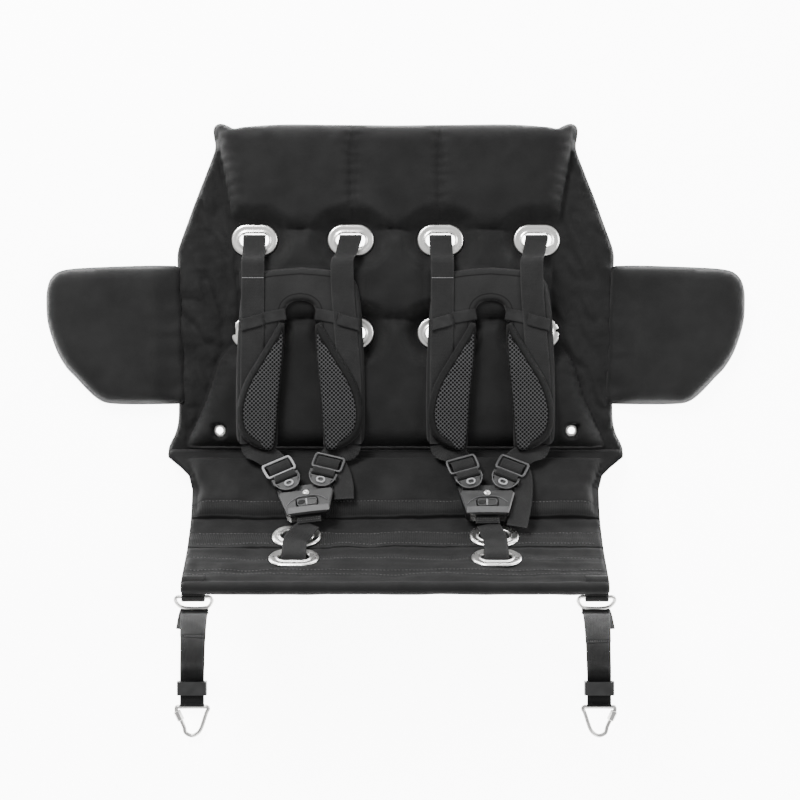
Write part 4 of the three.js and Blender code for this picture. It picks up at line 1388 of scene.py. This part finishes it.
def leg_line():
    """The leg strap's side view from the ring's bow to its foot, as y and z, and the height of its top, from
    which its place along x is worked out."""
    start = joint("leg_swing_left")[0][1:]
    steps = np.array([(-5, -32), (-14, -39), (-21, -38), (-26, -35), (-25, -20)])
    line = np.vstack([start, start + np.cumsum(steps, axis=0), [(-512, 5), (-551, 5)]])
    return line, start[1]


def make_legs(props):
    """D-rings, leg webbing with its folded tails and stitching, ladder locks, quick links and their
    sleeves."""
    width, thick, wire = mm(props.width), 1.7, mm(props.wire)
    side_line, high = leg_line()
    for side, sign in SIDES.items():
        pivot = joint(f"ring_swing_{side}")[0]
        tilt = math.radians(38)
        down, out = np.array(
            [0, -math.cos(tilt), -math.sin(tilt)]
        ), np.array([0, -math.sin(tilt), math.cos(tilt)])
        bow = [
            (-21, 9), (-14.7, 18), (0, 20), (14.7, 18), (21, 9), (21, 3), (18, 0), (14, 0), (-14, 0),
            (-18, 0), (-21, 3)
        ]
        line = np.array([pivot + (u, 0, 0) + down * v for u, v in smooth_line(bow, 1.2, closed=True)])
        ring = tube(f"d_ring_{side}_wire", line, 2.2, [MATERIALS["steel"]], closed=True, normal=out)
        declare(ring, f"ring_{side}", [f"d_ring_{side}"])
        x_at = lambda z: pivot[0] + sign * 32 * (high - z) / (high - 5)
        yz = smooth_line(side_line, 2.5)
        line = np.column_stack([x_at(yz[:, 1]), yz])
        slope = np.gradient(line, axis=0)
        slope /= np.linalg.norm(slope, axis=1)[:, None]
        front = np.column_stack([np.zeros(len(line)), slope[:, 2], -slope[:, 1]])
        turn = np.linspace(math.radians(150), math.radians(-130), 16)
        foot = line[-1]
        eye = np.column_stack(
            [np.full(16, foot[0]), foot[1] - 2.7 + 3.6 * np.cos(turn - 0), foot[2] + 3.6 * np.sin(turn)]
        )
        strap_line = smooth_line(np.vstack([line[:-2:3], line[-2:-1], eye[4:]]), 2.0)
        leg = strap(f"leg_strap_{side}_cloth", strap_line, (1, 0, 0), width, thick, MATERIALS["leg"])
        declare(leg, f"leg_{side}", [f"leg_strap_{side}"])
        top = line[:6]
        last = int(np.argmin(np.abs(line[:, 1] - (-449 if side == "left" else -458))))
        loop = [
            top[5] + (0, 2.4, -1.0), top[3] + (0, 2.6, -0.6), top[0] + (0, 2.6, 1.0),
            top[0] + (0, 1.2, 4.9), top[0] + (0, -2.6, 2.4), top[3] + (0, -2.6, 0)
        ]
        loop = np.vstack([loop, line[8:last:5] + front[8:last:5] * 2.3, [line[last] + front[last] * 3.0]])
        over = strap(
            f"leg_loop_{side}", smooth_line(loop, 1.6), (1, 0, 0), width + 0.6, thick, MATERIALS["leg"]
        )
        declare(over, f"leg_{side}")
        tail = line[10:52:4] - front[10:52:4] * 2.6 + (sign * 1.0, 0, 0)
        tail = tail + np.linspace(0, 1, len(tail))[:, None] * np.array([sign * 6.0, 0, 0])
        flap = strap(
            f"leg_tail_{side}", smooth_line(tail, 2.0), (1, 0, 0), width - 2, thick, MATERIALS["leg"]
        )
        declare(flap, f"leg_{side}")
        spots, ways = [], []
        for at, lift in ((last - 2, 3.7), (last - 3, 3.6), (len(line) - 9, 1.1)):
            spots += [line[at] + front[at] * lift + (u, 0, 0) for u in np.linspace(-13, 13, 10)]
            ways += [front[at]] * 10
        sewn = stitches(
            f"leg_stitches_{side}", spots, np.tile((1.0, 0, 0), (len(spots), 1)), ways,
            MATERIALS["thread"], length=2.1
        )
        declare(sewn, f"leg_{side}")
        lock = frame["nodes"][f"ladder_lock_{side}"]
        lock.data.materials.clear()
        lock.data.materials.append(MATERIALS["plastic"])
        soften(lock, 0.7)
        bar = joint(f"link_swing_{side}")[0]
        leg_way = np.array([8.0 - 23, 8 - 40.0])
        leg_way /= np.linalg.norm(leg_way)
        on_leg = lambda d: (23 + leg_way[0] * d, leg_way[1] * d)
        path = [
            on_leg(9), on_leg(5), (20, 0), (16, 0), (-16, 0), (-20, 0),
            (-23 - leg_way[0] * 3, leg_way[1] * 3), (-23 - leg_way[0] * 10, leg_way[1] * 10),
            (-12.8, -27), (-8.6, -34), (-2.6, -37.8), (2.6, -37.8), (8.6, -34), on_leg(29), on_leg(17)
        ]
        flip = np.array([sign, 1.0])
        line = smooth_line(np.array(path) * flip, 1.0)
        line = np.column_stack([line + bar[:2], np.full(len(line), bar[2])])
        link = tube(f"quick_link_{side}_wire", line, wire, [MATERIALS["steel"]], sides=20)
        declare(link, f"link_{side}", [f"quick_link_{side}"])
        at = np.array([6.0, 6.4, 7.0, 19.0, 19.6, 20.0])
        radius = np.array([3.4, 4.6, 5.0, 5.0, 4.6, 3.4])
        line = np.array([on_leg(d) for d in at]) * flip
        line = np.column_stack([line + bar[:2], np.full(len(at), bar[2])])
        sleeve = tube(f"link_sleeve_{side}_nut", line, radius, [MATERIALS["steel"]], sides=6)
        soften(sleeve, 0.4)
        declare(sleeve, f"sleeve_{side}", [f"link_sleeve_{side}"])


# ---------- add-on ----------


class SeatInsertProperties(bpy.types.PropertyGroup):
    stage: bpy.props.PointerProperty(
        type=StageProperties, name="Stage", description="Floor, lights and camera"
    )
    back: bpy.props.PointerProperty(type=BackProperties, name="Back", description="The quilted back")
    seat: bpy.props.PointerProperty(type=SeatProperties, name="Seat", description="The sling seat")
    wing: bpy.props.PointerProperty(type=WingProperties, name="Wings", description="The side wings")
    eyelet: bpy.props.PointerProperty(
        type=EyeletProperties, name="Eyelets", description="The slot eyelets"
    )
    harness: bpy.props.PointerProperty(
        type=HarnessProperties, name="Harness", description="The two harnesses"
    )
    leg: bpy.props.PointerProperty(
        type=LegProperties, name="Legs", description="The leg straps and links"
    )


class SEATINSERT_OT_stage(bpy.types.Operator):
    """Make the floor, the lights and the camera"""

    bl_idname = "seat_insert.stage"
    bl_label = "Stage"

    def execute(self, context):
        make_materials()
        make_stage(settings(context).stage)
        return {"FINISHED"}


class SEATINSERT_OT_back(bpy.types.Operator):
    """Make the quilted back"""

    bl_idname = "seat_insert.back"
    bl_label = "Back"

    def execute(self, context):
        make_back(settings(context).back, settings(context).eyelet)
        return {"FINISHED"}


class SEATINSERT_OT_seat(bpy.types.Operator):
    """Make the seat, its hem and its ring loops"""

    bl_idname = "seat_insert.seat"
    bl_label = "Seat"

    def execute(self, context):
        make_seat(settings(context).seat)
        return {"FINISHED"}


class SEATINSERT_OT_wings(bpy.types.Operator):
    """Make the two wings"""

    bl_idname = "seat_insert.wings"
    bl_label = "Wings"

    def execute(self, context):
        make_wings(settings(context).wing)
        return {"FINISHED"}


class SEATINSERT_OT_eyelets(bpy.types.Operator):
    """Make the slot eyelets and tie eyelets"""

    bl_idname = "seat_insert.eyelets"
    bl_label = "Eyelets"

    def execute(self, context):
        make_eyelets(settings(context).eyelet)
        return {"FINISHED"}


class SEATINSERT_OT_pads(bpy.types.Operator):
    """Make the harness pads and keepers"""

    bl_idname = "seat_insert.pads"
    bl_label = "Harness pads"

    def execute(self, context):
        make_harness_pads(settings(context).harness)
        return {"FINISHED"}


class SEATINSERT_OT_straps(bpy.types.Operator):
    """Make the shoulder and crotch webbing"""

    bl_idname = "seat_insert.straps"
    bl_label = "Harness webbing"

    def execute(self, context):
        make_shoulder_straps(settings(context).harness)
        make_crotch_straps(settings(context).harness)
        make_strap_tails(settings(context).harness)
        return {"FINISHED"}


class SEATINSERT_OT_buckles(bpy.types.Operator):
    """Finish the buckles and tongues"""

    bl_idname = "seat_insert.buckles"
    bl_label = "Buckles"

    def execute(self, context):
        make_buckles()
        return {"FINISHED"}


class SEATINSERT_OT_legs(bpy.types.Operator):
    """Make the D-rings, leg straps, locks and quick links"""

    bl_idname = "seat_insert.legs"
    bl_label = "Leg straps"

    def execute(self, context):
        make_legs(settings(context).leg)
        return {"FINISHED"}


OPERATORS = (
    SEATINSERT_OT_stage, SEATINSERT_OT_back, SEATINSERT_OT_seat, SEATINSERT_OT_wings, SEATINSERT_OT_eyelets,
    SEATINSERT_OT_pads, SEATINSERT_OT_straps, SEATINSERT_OT_buckles, SEATINSERT_OT_legs,
)


class SEATINSERT_PT_panel(bpy.types.Panel):
    """Sizes of the pieces and a button for each"""

    bl_label = "Seat Insert"
    bl_idname = "SEATINSERT_PT_panel"
    bl_space_type = "VIEW_3D"
    bl_region_type = "UI"
    bl_category = "Seat Insert"

    def draw(self, context):
        groups = settings(context)
        for group in ("stage", "back", "seat", "wing", "eyelet", "harness", "leg"):
            box = self.layout.box()
            box.label(text=group.capitalize())
            for key in getattr(groups, group).__annotations__:
                box.prop(getattr(groups, group), key)
        for operator in OPERATORS:
            self.layout.operator(operator.bl_idname)


CLASSES = (
    StageProperties, BackProperties, SeatProperties, WingProperties, EyeletProperties, HarnessProperties,
    LegProperties, SeatInsertProperties, *OPERATORS, SEATINSERT_PT_panel,
)


def register():
    for cls in CLASSES:
        bpy.utils.register_class(cls)
    bpy.types.Scene.seat_insert = bpy.props.PointerProperty(type=SeatInsertProperties)


def unregister():
    del bpy.types.Scene.seat_insert
    for cls in reversed(CLASSES):
        bpy.utils.unregister_class(cls)


def main():
    """Registers the add-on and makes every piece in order."""
    register()
    for step in ("stage", "back", "seat", "wings", "eyelets", "pads", "straps", "buckles", "legs"):
        getattr(bpy.ops.seat_insert, step)()


if __name__ == "__main__":
    main()
